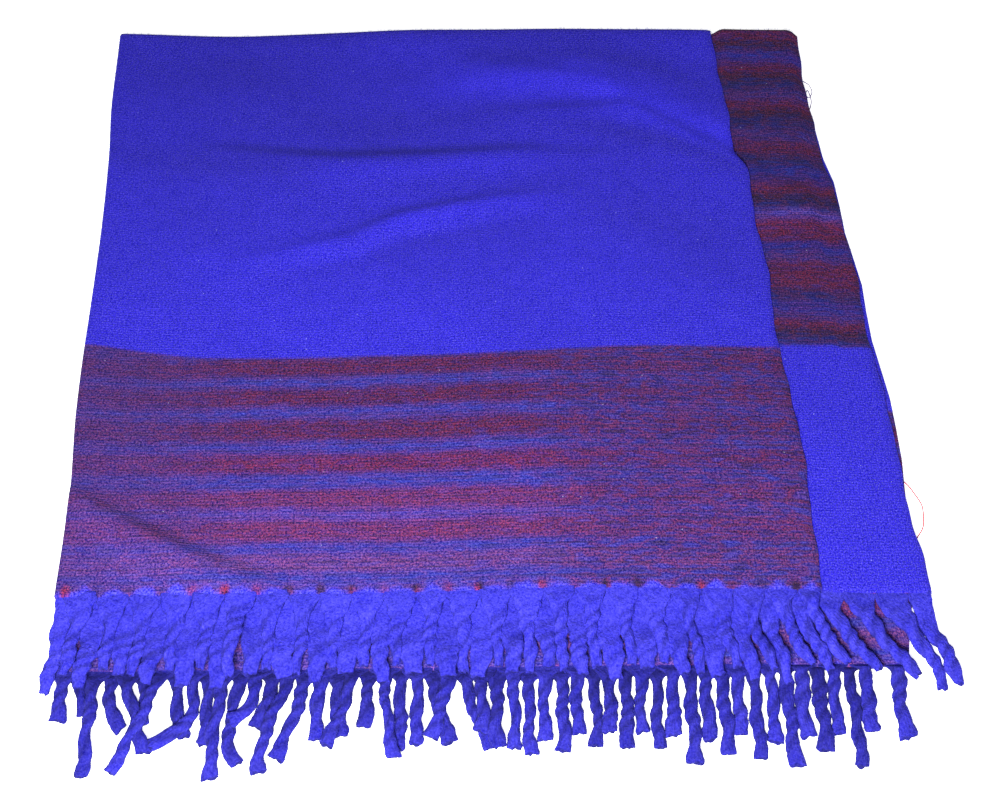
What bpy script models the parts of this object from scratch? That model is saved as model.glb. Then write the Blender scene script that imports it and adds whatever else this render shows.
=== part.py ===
"""Folded yak wool blanket.

A brushed, double-faced wool blanket folded in four and laid flat. It is folded once across its
width, at the left, and then once along its length, at the far side. Its two fringed ends lie at
the near side, the upper end a little short of the lower one.

Metres, +Z up. The origin is on the floor, under the middle of the blanket.
"""

import math
import random
from collections import namedtuple

import bmesh
import bpy
import numpy as np

# Cloth
CLOTH_THICKNESS = 0.0025
LAYER_PITCH = 0.0033
UPPER_LENGTH = 0.582
LOWER_LENGTH = 0.638
ROW_STEP = 0.034
LOWER_ROW_STEP = 0.13
CLOSEST_ROWS = 0.25
TOP_COLUMNS = 20
MARGIN_COLUMNS = 3
BEND_STEPS = 4

# Twisted fringe
STRIP_LENGTH = 0.008
STRAND_WIDTH = 0.008
STRAND_HEIGHT = 0.006
STRAND_RINGS = 6
TIP_FLARE = 1.15
LEAVE_SHARE = 0.333
TURN_SHARE = 0.72
DRAPE_SLOPE = 0.4
TRACK_STEPS = 48
PIECE_GAP = 0.0003
SIDE_CLEARANCE = 0.001
NEIGHBOUR_REACH = 0.1
RING_WINDOW = 0.8

# Softness of the two folds
FOLD_PUFF = 0.0035
PUFF_REACH = 0.028

# Colours, as linear red, green and blue
FIELD_BLUE = (0.035, 0.022, 0.50, 1.0)
FRINGE_BLUE = (0.05, 0.04, 0.75, 1.0)
WOOL_ROUGHNESS = 0.95

# The sides of the pile, seen from above, at distances from the far fold. The top layer ends at
# top_right, the second at second_right, the third at third_right and the bottom at bottom_right.
Side = namedtuple("Side", "distance left top_right second_right third_right bottom_right")
SIDES = (
    Side(0.000, -0.355, 0.196, 0.276, 0.276, 0.196),
    Side(0.090, -0.350, 0.204, 0.280, 0.281, 0.207),
    Side(0.150, -0.344, 0.206, 0.284, 0.286, 0.214),
    Side(0.170, -0.342, 0.218, 0.288, 0.291, 0.217),
    Side(0.290, -0.336, 0.223, 0.297, 0.300, 0.230),
    Side(0.360, -0.334, 0.224, 0.299, 0.303, 0.238),
    Side(0.420, -0.331, 0.230, 0.305, 0.309, 0.245),
    Side(0.500, -0.324, 0.233, 0.307, 0.308, 0.254),
    Side(0.582, -0.322, 0.233, 0.313, 0.300, 0.263),
    Side(0.638, -0.315, 0.233, 0.313, 0.289, 0.2695),
)

# The far fold and the two pairs of ends, seen from above, from left to right
End = namedtuple("End", "x far upper lower")
ENDS = (
    End(-0.350, 0.409, -0.175, -0.231),
    End(-0.240, 0.406, -0.173, -0.229),
    End(-0.080, 0.413, -0.171, -0.227),
    End(0.080, 0.416, -0.166, -0.225),
    End(0.200, 0.414, -0.168, -0.224),
    End(0.268, 0.413, -0.169, -0.224),
    End(0.276, 0.406, -0.169, -0.224),
)

# Soft creases left in the top layers: a ridge from one place to another, with its height and
# the reach of its slopes
Crease = namedtuple("Crease", "x_from y_from x_to y_to height reach")
CREASES = (
    Crease(-0.040, 0.350, 0.200, 0.270, 0.0030, 0.026),
    Crease(-0.280, 0.215, 0.060, 0.240, 0.0024, 0.024),
    Crease(-0.205, 0.145, 0.020, 0.208, 0.0034, 0.016),
    Crease(0.190, 0.266, 0.288, 0.208, 0.0028, 0.016),
    Crease(-0.330, -0.076, -0.150, -0.168, 0.0032, 0.016),
    Crease(0.050, 0.120, 0.225, 0.095, 0.0018, 0.030),
    Crease(-0.250, 0.010, 0.120, -0.030, 0.0012, 0.036),
)

# The four rows of twisted strands: the turn of their layer, how many they are, how far in from
# the left fold they start, as a share of their pitch, and how far they reach on the floor, at
# the left and middle and, past the place called RIGHT_FROM, at the right.
Row = namedtuple("Row", "name turn count pitch phase reach right_reach")
UPPER_ROWS = (
    Row("second", math.pi, 28, 0.0230, 0.35, 0.066, 0.066),
    Row("top", 0.0, 24, 0.0230, 0.85, 0.060, 0.060),
)
LOWER_ROWS = (
    Row("bottom", 0.0, 25, 0.0226, 0.85, 0.060, 0.067),
    Row("third", math.pi, 27, 0.0226, 0.35, 0.054, 0.052),
)
RIGHT_FROM = 0.12

# How far the tips of the upper strands lie to the right of their roots, from left to right
Lean = namedtuple("Lean", "x side")
UPPER_LEANS = (
    Lean(-0.320, -0.005),
    Lean(-0.200, -0.007),
    Lean(0.000, 0.000),
    Lean(0.150, 0.007),
    Lean(0.230, 0.022),
    Lean(0.285, 0.020),
    Lean(0.310, 0.014),
)

# The strands of the lower end that strayed, by their number from the left: how far each tip
# lies to the right of its root and in front of it, and how far its middle bows to the right
Stray = namedtuple("Stray", "row number side reach bow")
STRAYS = (
    Stray("third", 0, -0.001, 0.034, 0.000),
    Stray("bottom", 0, 0.006, 0.030, 0.000),
    Stray("third", 1, -0.001, 0.074, 0.001),
    Stray("bottom", 1, 0.011, 0.041, -0.004),
    Stray("third", 2, 0.018, 0.060, 0.003),
    Stray("bottom", 2, 0.003, 0.038, 0.000),
    Stray("third", 3, -0.024, 0.075, 0.000),
    Stray("bottom", 3, 0.009, 0.048, 0.000),
    Stray("third", 4, -0.022, 0.057, 0.014),
    Stray("bottom", 4, 0.000, 0.053, 0.002),
    Stray("third", 5, -0.002, 0.078, -0.002),
    Stray("bottom", 5, 0.003, 0.068, -0.007),
    Stray("third", 6, -0.015, 0.040, 0.006),
    Stray("bottom", 6, -0.008, 0.041, 0.000),
    Stray("third", 7, -0.015, 0.074, -0.006),
    Stray("bottom", 7, -0.017, 0.064, 0.000),
    Stray("bottom", 8, 0.004, 0.048, 0.000),
    Stray("third", 9, -0.016, 0.057, 0.000),
    Stray("bottom", 9, -0.002, 0.042, 0.000),
    Stray("third", 10, 0.009, 0.066, 0.000),
    Stray("bottom", 11, 0.013, 0.053, 0.000),
    Stray("third", 12, -0.012, 0.052, 0.000),
    Stray("bottom", 12, 0.019, 0.057, 0.000),
    Stray("second", 26, 0.018, 0.088, 0.004),
    Stray("second", 27, 0.014, 0.070, 0.004),
)
STRAY_SEED = 7
SIDE_SPREAD = 0.0016
REACH_SPREAD = 0.006
BOW_SPREAD = 0.0015

COLLECTION_NAME = "folded_blanket"


def read(table, key, column, at):
    """Read a table's column at a place between its rows, along a straight line."""
    places = [getattr(row, key) for row in table]
    values = [getattr(row, column) for row in table]
    return float(np.interp(at, places, values))


def read_smoothly(table, key, column, at):
    """Read a table's column along a curve that is level at every row."""
    for before, after in zip(table, table[1:]):
        if at < getattr(after, key):
            break
    run = getattr(after, key) - getattr(before, key)
    share = min(max((at - getattr(before, key)) / run, 0.0), 1.0)
    eased = share * share * (3 - 2 * share)
    start, stop = getattr(before, column), getattr(after, column)
    return start + (stop - start) * eased


def crease_height(crease, x, y):
    """Height of one ridge: highest along its line, fading towards its ends and down its sides."""
    run_x = crease.x_to - crease.x_from
    run_y = crease.y_to - crease.y_from
    along = ((x - crease.x_from) * run_x + (y - crease.y_from) * run_y) / (run_x**2 + run_y**2)
    along = min(max(along, 0.0), 1.0)
    away = math.hypot(x - crease.x_from - along * run_x, y - crease.y_from - along * run_y)
    return crease.height * math.sin(math.pi * along) * math.exp(-(away / crease.reach) ** 2)


def lift(x, y, left, far):
    """How far the top layer stands above its flat place: creases, and puff along both folds."""
    ridges = sum(crease_height(crease, x, y) for crease in CREASES)
    far_puff = math.exp(-((far - y) / PUFF_REACH) ** 2)
    left_puff = math.exp(-((x - left) / PUFF_REACH) ** 2)
    return ridges + FOLD_PUFF * max(far_puff, left_puff)


def fold_point(x, turn, distance, roll):
    """Middle of the cloth's thickness at one place of the folded blanket.

    turn runs around the left fold, from 0 on the outer layer to pi on the inner one. roll runs
    around the far fold, from 0 on the upper pair of layers to pi on the lower pair. distance
    runs along the blanket from the far fold towards the ends.
    """
    bend = LAYER_PITCH / 2
    outermost = LAYER_PITCH + bend
    lower = roll > math.pi / 2
    far = read_smoothly(ENDS, "x", "far", x)
    end = read_smoothly(ENDS, "x", "lower" if lower else "upper", x)
    length = LOWER_LENGTH if lower else UPPER_LENGTH
    left = read(SIDES, "distance", "left", distance)
    axis_y = far - outermost - CLOTH_THICKNESS / 2
    radius = LAYER_PITCH + bend * math.cos(turn)
    y = axis_y + radius * math.sin(roll) - distance * (axis_y - end) / length
    height = outermost + radius * math.cos(roll)
    share = min(max(height / LAYER_PITCH - 1, 0.0), 2.0) / 2
    z = CLOTH_THICKNESS / 2 + height + share * lift(x, y, left, far)
    return (x - bend * math.sin(turn), y, z)


def left_axis(distance):
    """Axis of the left fold, whose outer face lies on the pile's left side."""
    return read(SIDES, "distance", "left", distance) + (LAYER_PITCH + CLOTH_THICKNESS) / 2


def column_x(share, distance, roll):
    """Place across a layer: 0 at the left fold, 1 at the narrow layer's edge, 2 at the wide one's."""
    lower = roll > math.pi / 2
    narrow = read(SIDES, "distance", "bottom_right" if lower else "top_right", distance)
    wide = read(SIDES, "distance", "third_right" if lower else "second_right", distance)
    axis = left_axis(distance)
    if share <= 1:
        return axis + share * (narrow - axis)
    return narrow + (share - 1) * (wide - narrow)


def cloth_columns():
    """Stops across the cloth, from the outer layer's edge round the left fold to the inner one's."""
    shares = [number / TOP_COLUMNS for number in range(TOP_COLUMNS + 1)]
    outer = [(0.0, share) for share in reversed(shares)]
    bend = [(math.pi * step / BEND_STEPS, 0.0) for step in range(1, BEND_STEPS)]
    margin = [1 + (number + 1) / MARGIN_COLUMNS for number in range(MARGIN_COLUMNS)]
    inner = [(math.pi, share) for share in shares + margin]
    return outer + bend + inner


def row_distances(length, step):
    """Stops along one pair of layers: the rows of the sides' table, and steps between them."""
    last = length - STRIP_LENGTH - PIECE_GAP
    marks = [side.distance for side in SIDES if side.distance < last - step / 2] + [last]
    stops = [0.0]
    for mark in marks[1:]:
        run = mark - stops[-1]
        if run > CLOSEST_ROWS * step:
            parts = max(1, round(run / step))
            stops += [stops[-1] + run * part / parts for part in range(1, parts + 1)]
    return stops


def cloth_rows():
    """Stops along the cloth, from the upper end round the far fold to the lower end."""
    upper = [(distance, 0.0) for distance in reversed(row_distances(UPPER_LENGTH, ROW_STEP))]
    bend = [(0.0, math.pi * step / BEND_STEPS) for step in range(1, BEND_STEPS)]
    lower = [(distance, math.pi) for distance in row_distances(LOWER_LENGTH, LOWER_ROW_STEP)]
    return upper + bend + lower


def wool(name, colour):
    """Plain brushed wool."""
    material = bpy.data.materials.new(name)
    material.use_nodes = True
    shader = material.node_tree.nodes["Principled BSDF"]
    shader.inputs["Base Color"].default_value = colour
    shader.inputs["Roughness"].default_value = WOOL_ROUGHNESS
    shader.inputs["Metallic"].default_value = 0.0
    return material


def add_object(name, bm, material, collection):
    """Turn a bmesh into a smooth-shaded object of the blanket."""
    bmesh.ops.recalc_face_normals(bm, faces=bm.faces[:])
    mesh = bpy.data.meshes.new(name)
    bm.to_mesh(mesh)
    bm.free()
    mesh.materials.append(material)
    mesh.shade_smooth()
    item = bpy.data.objects.new(name, mesh)
    collection.objects.link(item)
    return item


def make_cloth(material, collection):
    """The woven cloth: its middle surface through both folds, thickened to the real wool."""
    bm = bmesh.new()
    columns = cloth_columns()
    grid = []
    for distance, roll in cloth_rows():
        places = [(column_x(share, distance, roll), turn) for turn, share in columns]
        grid.append([bm.verts.new(fold_point(x, turn, distance, roll)) for x, turn in places])
    for near, far in zip(grid, grid[1:]):
        for number in range(len(columns) - 1):
            bm.faces.new((near[number], far[number], far[number + 1], near[number + 1]))
    cloth = add_object("blanket_cloth", bm, material, collection)
    thicken = cloth.modifiers.new("Thickness", "SOLIDIFY")
    thicken.thickness = CLOTH_THICKNESS
    thicken.offset = 0.0
    thicken.use_even_offset = True
    return cloth


def smooth_track(start, leave, turn, tip):
    """Curve from start to tip that sets out towards leave and comes in from turn."""
    share = np.linspace(0.0, 1.0, TRACK_STEPS + 1)[:, None]
    rest = 1 - share
    ends = rest**3 * start + share**3 * tip
    return ends + 3 * rest * share * (rest * leave + share * turn)


class Strand:
    """One twisted strand: where it starts, its track over the floor, and how high it rests."""

    def __init__(self, row, number, roll, dice):
        length = LOWER_LENGTH if roll else UPPER_LENGTH
        self.row = row
        self.x = read(SIDES, "distance", "left", length) + row.pitch * (number + row.phase)
        root = fold_point(self.x, row.turn, length, roll)
        self.root_bottom = root[2] - CLOTH_THICKNESS / 2
        side, reach, bow = strand_shape(row, number, self.x, roll, dice)
        start = np.array(root[:2])
        leave = start + np.array([0.0, -LEAVE_SHARE * reach])
        turn = start + np.array([side / 2 + 2 * bow, -TURN_SHARE * reach])
        tip = start + np.array([side, -reach])
        self.track = smooth_track(start, leave, turn, tip)
        steps = np.linalg.norm(np.diff(self.track, axis=0), axis=1)
        self.run = np.concatenate([[0.0], np.cumsum(steps)])
        self.stops = np.linspace(0.0, self.run[-1], STRAND_RINGS + 1)

    def rest_on(self, supports):
        """Settle on what lies below: each point is held up by the supports around it.

        A ring takes the highest rest in the stretch around it, so the faces between rings stay
        clear too.
        """
        supports[0] = max(self.root_bottom, supports[0])
        fall = DRAPE_SLOPE * np.abs(self.run[:, None] - self.run[None, :])
        rest = np.max(supports[None, :] - fall, axis=1)
        window = RING_WINDOW * self.stops[1]
        near = np.abs(self.stops[:, None] - self.run[None, :]) <= window
        self.ring_bottoms = np.max(np.where(near, rest[None, :], 0.0), axis=1)
        self.ring_bottoms[0] = self.root_bottom
        self.bottom = np.interp(self.run, self.stops, self.ring_bottoms)


def strand_shape(row, number, x, roll, dice):
    """Lean, reach and bow of a strand: a small spread, unless it is one of the strays."""
    side = dice.uniform(-SIDE_SPREAD, SIDE_SPREAD)
    reach = row.right_reach if x > RIGHT_FROM else row.reach
    reach += dice.uniform(-REACH_SPREAD, REACH_SPREAD)
    bow = dice.uniform(-BOW_SPREAD, BOW_SPREAD)
    if not roll:
        side += read(UPPER_LEANS, "x", "side", x)
    for stray in STRAYS:
        if (stray.row, stray.number) == (row.name, number):
            return stray.side, stray.reach, stray.bow
    return side, reach, bow


def supports_under(strand, laid, cloth_top):
    """Height of what lies under each point of a strand: the floor, the lower pair of layers or
    the strands that were laid before it."""
    supports = np.zeros(len(strand.track))
    if cloth_top:
        ends = np.array([read(ENDS, "x", "lower", x) for x in strand.track[:, 0]])
        right = read(SIDES, "distance", "third_right", LOWER_LENGTH) + STRAND_WIDTH / 2
        before_end = strand.track[:, 1] > ends - SIDE_CLEARANCE
        supports[before_end & (strand.track[:, 0] < right)] = cloth_top + PIECE_GAP
    for other in laid:
        if abs(other.x - strand.x) > NEIGHBOUR_REACH:
            continue
        between = np.linalg.norm(strand.track[:, None, :] - other.track[None, :, :], axis=2)
        nearest = between.argmin(axis=1)
        touching = between.min(axis=1) < STRAND_WIDTH + SIDE_CLEARANCE
        tops = other.bottom[nearest] + STRAND_HEIGHT + PIECE_GAP
        supports[touching] = np.maximum(supports[touching], tops[touching])
    supports[strand.run < STRIP_LENGTH / 2] = 0.0
    return supports


def lay_strands(rows, roll, laid, cloth_top):
    """Lay the strands of one end, a row at a time, each on what is already there."""
    dice = random.Random(STRAY_SEED + len(laid))
    strands = []
    for row in rows:
        for number in range(row.count):
            strand = Strand(row, number, roll, dice)
            strand.rest_on(supports_under(strand, laid + strands, cloth_top))
            strands.append(strand)
    return strands


def bridge(bm, first, second):
    """Four side faces between two rings of four points."""
    for corner in range(4):
        after = (corner + 1) % 4
        bm.faces.new((first[corner], first[after], second[after], second[corner]))


def strip_ring(bm, x, turn, roll, length):
    """Section of the strip at one stop: outer far, outer near, inner near, inner far."""
    ring = []
    normal = (-math.sin(turn), 0.0, math.cos(turn) * math.cos(roll))
    parting = length - STRIP_LENGTH
    for side, distance in ((1, parting), (1, length), (-1, length), (-1, parting)):
        middle = fold_point(x, turn, distance, roll)
        step = side * CLOTH_THICKNESS / 2
        ring.append(bm.verts.new([middle[axis] + step * normal[axis] for axis in range(3)]))
    return ring


def strand_rings(bm, strand, root, roll):
    """Carry the four-sided section of a strand from its root along its track to its flared tip."""
    outer_up = math.cos(strand.row.turn) * math.cos(roll) > 0
    first = 1 if math.cos(strand.row.turn) > 0 else -1
    ahead = np.gradient(strand.track, strand.run, axis=0)
    before = root
    for number in range(1, STRAND_RINGS + 1):
        distance = strand.stops[number]
        centre = [np.interp(distance, strand.run, strand.track[:, axis]) for axis in (0, 1)]
        heading = [np.interp(distance, strand.run, ahead[:, axis]) for axis in (0, 1)]
        scale = TIP_FLARE if number == STRAND_RINGS else 1.0
        half = scale * STRAND_WIDTH / 2 / math.hypot(heading[0], heading[1])
        right = (-heading[1] * half, heading[0] * half)
        bottom = strand.ring_bottoms[number]
        outer, inner = (bottom + STRAND_HEIGHT, bottom) if outer_up else (bottom, bottom + STRAND_HEIGHT)
        ring = []
        for sign, z in ((first, outer), (-first, outer), (-first, inner), (first, inner)):
            ring.append(bm.verts.new((centre[0] + sign * right[0], centre[1] + sign * right[1], z)))
        bridge(bm, before, ring)
        before = ring
    bm.faces.new(before)


def make_fringe(name, strands, roll, material, collection):
    """One end's fringe: a narrow folded strip with a strand growing out of it at every pitch."""
    length = LOWER_LENGTH if roll else UPPER_LENGTH
    wide = "third_right" if roll else "second_right"
    narrow = "bottom_right" if roll else "top_right"
    outer = sorted((s for s in strands if s.row.turn == 0.0), key=lambda s: -s.x)
    inner = sorted((s for s in strands if s.row.turn != 0.0), key=lambda s: s.x)
    half = STRAND_WIDTH / 2
    stops = [(read(SIDES, "distance", narrow, length), 0.0, None)]
    for strand in outer:
        stops += [(strand.x + half, 0.0, strand), (strand.x - half, 0.0, None)]
    stops += [(left_axis(length), math.pi * step / BEND_STEPS, None) for step in range(BEND_STEPS + 1)]
    for strand in inner:
        stops += [(strand.x - half, math.pi, strand), (strand.x + half, math.pi, None)]
    stops.append((read(SIDES, "distance", wide, length), math.pi, None))

    bm = bmesh.new()
    rings = [strip_ring(bm, x, turn, roll, length) for x, turn, strand in stops]
    bm.faces.new(rings[0])
    bm.faces.new(rings[-1])
    for (x, turn, strand), ring, after in zip(stops, rings, rings[1:]):
        for corner in (0, 1, 2, 3):
            beside = (corner + 1) % 4
            if corner == 1 and strand:
                continue
            bm.faces.new((ring[corner], ring[beside], after[beside], after[corner]))
        if strand:
            strand_rings(bm, strand, [ring[1], after[1], after[2], ring[2]], roll)
    return add_object(name, bm, material, collection)


def centre_on_floor(items):
    """Place the pieces so that the origin lies on the floor under the middle of them all."""
    bpy.context.view_layer.update()
    graph = bpy.context.evaluated_depsgraph_get()
    places = []
    for item in items:
        mesh = item.evaluated_get(graph).to_mesh()
        places += [vertex.co[:2] for vertex in mesh.vertices]
    places = np.array(places)
    middle = (places.min(axis=0) + places.max(axis=0)) / 2
    for item in items:
        item.location = (-middle[0], -middle[1], 0.0)


def main():
    for item in list(bpy.data.objects):
        bpy.data.objects.remove(item)
    collection = bpy.data.collections.new(COLLECTION_NAME)
    bpy.context.scene.collection.children.link(collection)

    blue_wool = wool("blue_wool", FIELD_BLUE)
    fringe_wool = wool("fringe_wool", FRINGE_BLUE)
    cloth = make_cloth(blue_wool, collection)
    lower = lay_strands(LOWER_ROWS, math.pi, [], 0.0)
    upper = lay_strands(UPPER_ROWS, 0.0, lower, LAYER_PITCH + CLOTH_THICKNESS)
    fringes = [
        make_fringe("lower_fringe", lower, math.pi, fringe_wool, collection),
        make_fringe("upper_fringe", upper, 0.0, fringe_wool, collection),
    ]
    centre_on_floor([cloth] + fringes)


main()
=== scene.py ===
"""Folded yak wool blanket: its finished cloth, fringe and colours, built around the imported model.

The blanket is one brushed, double-faced cloth, folded at the left and then at the far side, with
twisted fringe at its two ends. Every shape is a surface worked out with numpy as whole arrays, in
metres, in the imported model's frame.
"""

import math
import random
from collections import namedtuple

import bpy
import numpy as np
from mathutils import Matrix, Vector


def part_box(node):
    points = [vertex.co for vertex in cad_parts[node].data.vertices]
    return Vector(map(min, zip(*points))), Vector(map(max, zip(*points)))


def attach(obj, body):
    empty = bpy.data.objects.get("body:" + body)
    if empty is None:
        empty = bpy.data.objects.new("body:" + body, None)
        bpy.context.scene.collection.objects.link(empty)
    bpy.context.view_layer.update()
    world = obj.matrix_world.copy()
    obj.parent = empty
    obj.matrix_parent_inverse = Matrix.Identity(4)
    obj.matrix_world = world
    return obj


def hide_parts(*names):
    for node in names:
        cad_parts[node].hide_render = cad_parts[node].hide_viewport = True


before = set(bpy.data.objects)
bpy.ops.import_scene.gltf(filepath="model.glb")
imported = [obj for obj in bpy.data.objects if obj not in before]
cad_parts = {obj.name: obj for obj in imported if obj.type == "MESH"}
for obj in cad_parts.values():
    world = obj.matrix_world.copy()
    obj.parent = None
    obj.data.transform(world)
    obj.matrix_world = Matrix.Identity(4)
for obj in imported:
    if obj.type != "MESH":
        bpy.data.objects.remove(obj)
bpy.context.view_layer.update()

bl_info = {
    "name": "Folded Wool Blanket",
    "version": (1, 0, 0),
    "blender": (4, 5, 0),
    "location": "3D View > Sidebar > Blanket",
    "description": "Folds a brushed wool blanket, weaves its stripes and twists its fringe",
    "category": "Add Mesh",
}

# The folded pile, as the maker measures it: metres, with the near middle of the pile at x 0
LAYER_PITCH = 0.0033
BEND = LAYER_PITCH / 2
OUTERMOST = LAYER_PITCH + BEND
UPPER_LENGTH = 0.582
LOWER_LENGTH = 0.638
FLAT_WIDTH = 1.19
FLAT_LENGTH = 1.235
FAR_FOLD = UPPER_LENGTH + math.pi * LAYER_PITCH

# The sides of the pile at distances from the far fold
Side = namedtuple("Side", "distance left top_right second_right third_right bottom_right")
SIDES = (
    Side(0.000, -0.355, 0.196, 0.276, 0.276, 0.196),
    Side(0.090, -0.350, 0.204, 0.280, 0.281, 0.207),
    Side(0.146, -0.344, 0.206, 0.284, 0.286, 0.214),
    Side(0.172, -0.342, 0.2155, 0.288, 0.291, 0.217),
    Side(0.205, -0.340, 0.2165, 0.291, 0.293, 0.221),
    Side(0.290, -0.336, 0.223, 0.297, 0.300, 0.230),
    Side(0.360, -0.334, 0.224, 0.299, 0.303, 0.238),
    Side(0.420, -0.331, 0.230, 0.305, 0.309, 0.245),
    Side(0.500, -0.324, 0.233, 0.307, 0.308, 0.254),
    Side(0.582, -0.322, 0.233, 0.313, 0.300, 0.263),
    Side(0.638, -0.315, 0.233, 0.313, 0.289, 0.2695),
)

# The far fold and the two pairs of ends, from left to right
End = namedtuple("End", "x far upper lower")
ENDS = (
    End(-0.350, 0.409, -0.175, -0.231),
    End(-0.240, 0.406, -0.173, -0.229),
    End(-0.080, 0.413, -0.171, -0.227),
    End(0.080, 0.416, -0.166, -0.225),
    End(0.200, 0.414, -0.168, -0.224),
    End(0.268, 0.413, -0.169, -0.224),
    End(0.276, 0.406, -0.169, -0.224),
)

# Soft creases of the top layers: height, below nought for a trough, how far the slope runs on the
# near and on the far side of its line, and the places that the line passes through
Crease = namedtuple("Crease", "height near far places")
CREASES = (
    Crease(0.0042, 0.034, 0.009, (
        (-0.280, 0.262), (-0.205, 0.252), (-0.141, 0.246), (-0.044, 0.251), (0.022, 0.257), (0.110, 0.252),
    )),
    Crease(0.0042, 0.030, 0.010, (
        (-0.030, 0.302), (0.115, 0.309), (0.190, 0.258), (0.224, 0.234), (0.292, 0.196),
    )),
    Crease(0.0030, 0.022, 0.014, (
        (-0.060, 0.374), (0.091, 0.342), (0.169, 0.292), (0.206, 0.268),
    )),
    Crease(0.0044, 0.015, 0.008, (
        (-0.240, 0.130), (-0.126, 0.158), (-0.086, 0.182), (0.000, 0.204), (0.070, 0.208),
    )),
    Crease(-0.0012, 0.008, 0.008, (
        (-0.190, 0.126), (-0.120, 0.139), (-0.080, 0.162), (0.030, 0.184),
    )),
    Crease(0.0042, 0.022, 0.007, (
        (-0.345, -0.078), (-0.278, -0.117), (-0.237, -0.138), (-0.198, -0.156), (-0.150, -0.172),
    )),
    Crease(-0.0014, 0.006, 0.009, (
        (-0.335, -0.070), (-0.278, -0.104), (-0.237, -0.125), (-0.198, -0.143), (-0.150, -0.162),
    )),
    Crease(0.0018, 0.034, 0.026, ((0.050, 0.120), (0.225, 0.095))),
    Crease(0.0014, 0.040, 0.034, ((-0.250, 0.010), (0.120, -0.030))),
    Crease(0.0014, 0.034, 0.020, ((-0.330, 0.330), (-0.180, 0.318), (-0.040, 0.330))),
)

# Painted light and shade on the top layer: swaths, many along its creases, that are lighter, or darker below
# nought
PAINTED_LIGHT_MARKS = (
    Crease(0.52, 0.026, 0.016, (
        (-0.100, 0.326), (-0.020, 0.342), (0.069, 0.351), (0.136, 0.321), (0.196, 0.281),
        (0.300, 0.205), (0.380, 0.140),
    )),
    Crease(-0.20, 0.010, 0.016, ((-0.040, 0.380), (0.070, 0.384), (0.138, 0.367), (0.195, 0.335))),
    Crease(-0.15, 0.026, 0.026, (
        (-0.300, 0.292), (-0.211, 0.298), (-0.107, 0.288), (-0.018, 0.304), (0.050, 0.300),
    )),
    Crease(-0.24, 0.005, 0.008, ((-0.240, 0.266), (-0.141, 0.254), (-0.044, 0.260), (0.040, 0.266))),
    Crease(0.13, 0.012, 0.006, ((-0.170, 0.230), (-0.105, 0.237), (0.022, 0.247), (0.080, 0.246))),
    Crease(0.24, 0.010, 0.004, (
        (-0.280, 0.136), (-0.231, 0.143), (-0.148, 0.159), (-0.077, 0.184), (-0.009, 0.201), (0.060, 0.214),
    )),
    Crease(-0.10, 0.006, 0.014, ((-0.130, 0.204), (-0.104, 0.209), (0.035, 0.224), (0.090, 0.226))),
    Crease(-0.16, 0.034, 0.040, ((-0.370, 0.375), (-0.330, 0.378), (-0.221, 0.371), (-0.120, 0.380))),
    Crease(-0.18, 0.012, 0.030, (
        (-0.380, 0.402), (-0.340, 0.404), (-0.094, 0.406), (0.187, 0.408), (0.230, 0.408),
    )),
    Crease(-0.16, 0.016, 0.018, ((-0.390, 0.262), (-0.345, 0.258), (-0.218, 0.238), (-0.150, 0.232))),
    Crease(-0.30, 0.014, 0.008, (
        (0.020, 0.292), (0.089, 0.288), (0.142, 0.274), (0.195, 0.248), (0.230, 0.226), (0.300, 0.180),
    )),
    Crease(0.10, 0.040, 0.040, ((0.020, 0.130), (0.090, 0.128), (0.160, 0.136))),
    Crease(-0.10, 0.030, 0.030, ((0.060, 0.180), (0.150, 0.172), (0.240, 0.160))),
    Crease(0.08, 0.050, 0.040, ((-0.340, 0.080), (-0.150, 0.090), (0.020, 0.080))),
    Crease(0.20, 0.050, 0.040, ((-0.340, -0.130), (-0.290, -0.140), (-0.240, -0.168), (-0.180, -0.185))),
    Crease(-0.12, 0.014, 0.016, ((-0.345, -0.060), (-0.300, -0.090), (-0.237, -0.118), (-0.180, -0.145))),
)

# How far the folds puff up, and how the far fold opens where the second layer lies free
FOLD_PUFF = 0.0035
PUFF_REACH = 0.028
FREE_RISE = 0.0030
FREE_REACH = 0.060
FREE_SHARE = 0.14
FREE_RELIEF = 0.7

# Long low waves left by storing the cloth: height, turns a metre along x and y, and phase
Wave = namedtuple("Wave", "height x_turns y_turns phase")
WAVES = (
    Wave(0.00055, 2.1, 3.3, 0.4),
    Wave(0.00040, -3.7, 6.1, 2.2),
    Wave(0.00025, 7.9, 10.3, 4.1),
)
EDGE_WAVES = (
    Wave(0.0007, 0.0, 11.0, 0.7),
    Wave(0.0005, 0.0, 27.0, 2.9),
)

# The four rows of twisted strands, as in the imported model, with how far the flat root runs, how
# full the strands are, how much paler or darker than the rest, which for the two lower rows is
# painted shade, and how far their tips open, or taper where it is below nought
Row = namedtuple("Row", "name turn count pitch phase reach right_reach fan fullness tone flare")
UPPER_ROWS = (
    Row("second", math.pi, 28, 0.0230, 0.35, 0.066, 0.066, 0.046, 1.12, -0.03, -1.2),
    Row("top", 0.0, 24, 0.0230, 0.85, 0.060, 0.060, 0.016, 1.00, 0.05, -1.5),
)
# The lower rows' tone below nought is painted shade
LOWER_ROWS = (
    Row("bottom", 0.0, 25, 0.0226, 0.85, 0.060, 0.067, 0.006, 0.92, -0.46, 1.0),
    Row("third", math.pi, 27, 0.0226, 0.35, 0.054, 0.052, 0.006, 0.92, -0.39, 1.0),
)
RIGHT_FROM = 0.12

# Painted shade: lower strands darker near their roots, where the upper tips lie over them, and
# upper ones darker at their roots; the upper strands are also darker at their tips
UNDER_PAINTED_SHADE = 0.16
UNDER_REACH = 0.020
UPPER_TIP_TONE = 0.17
UPPER_TIP_REACH = 0.013
UPPER_ROOT_PAINTED_SHADE = 0.15
UPPER_ROOT_REACH = 0.012
TONE_SPREAD = 0.08

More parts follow.
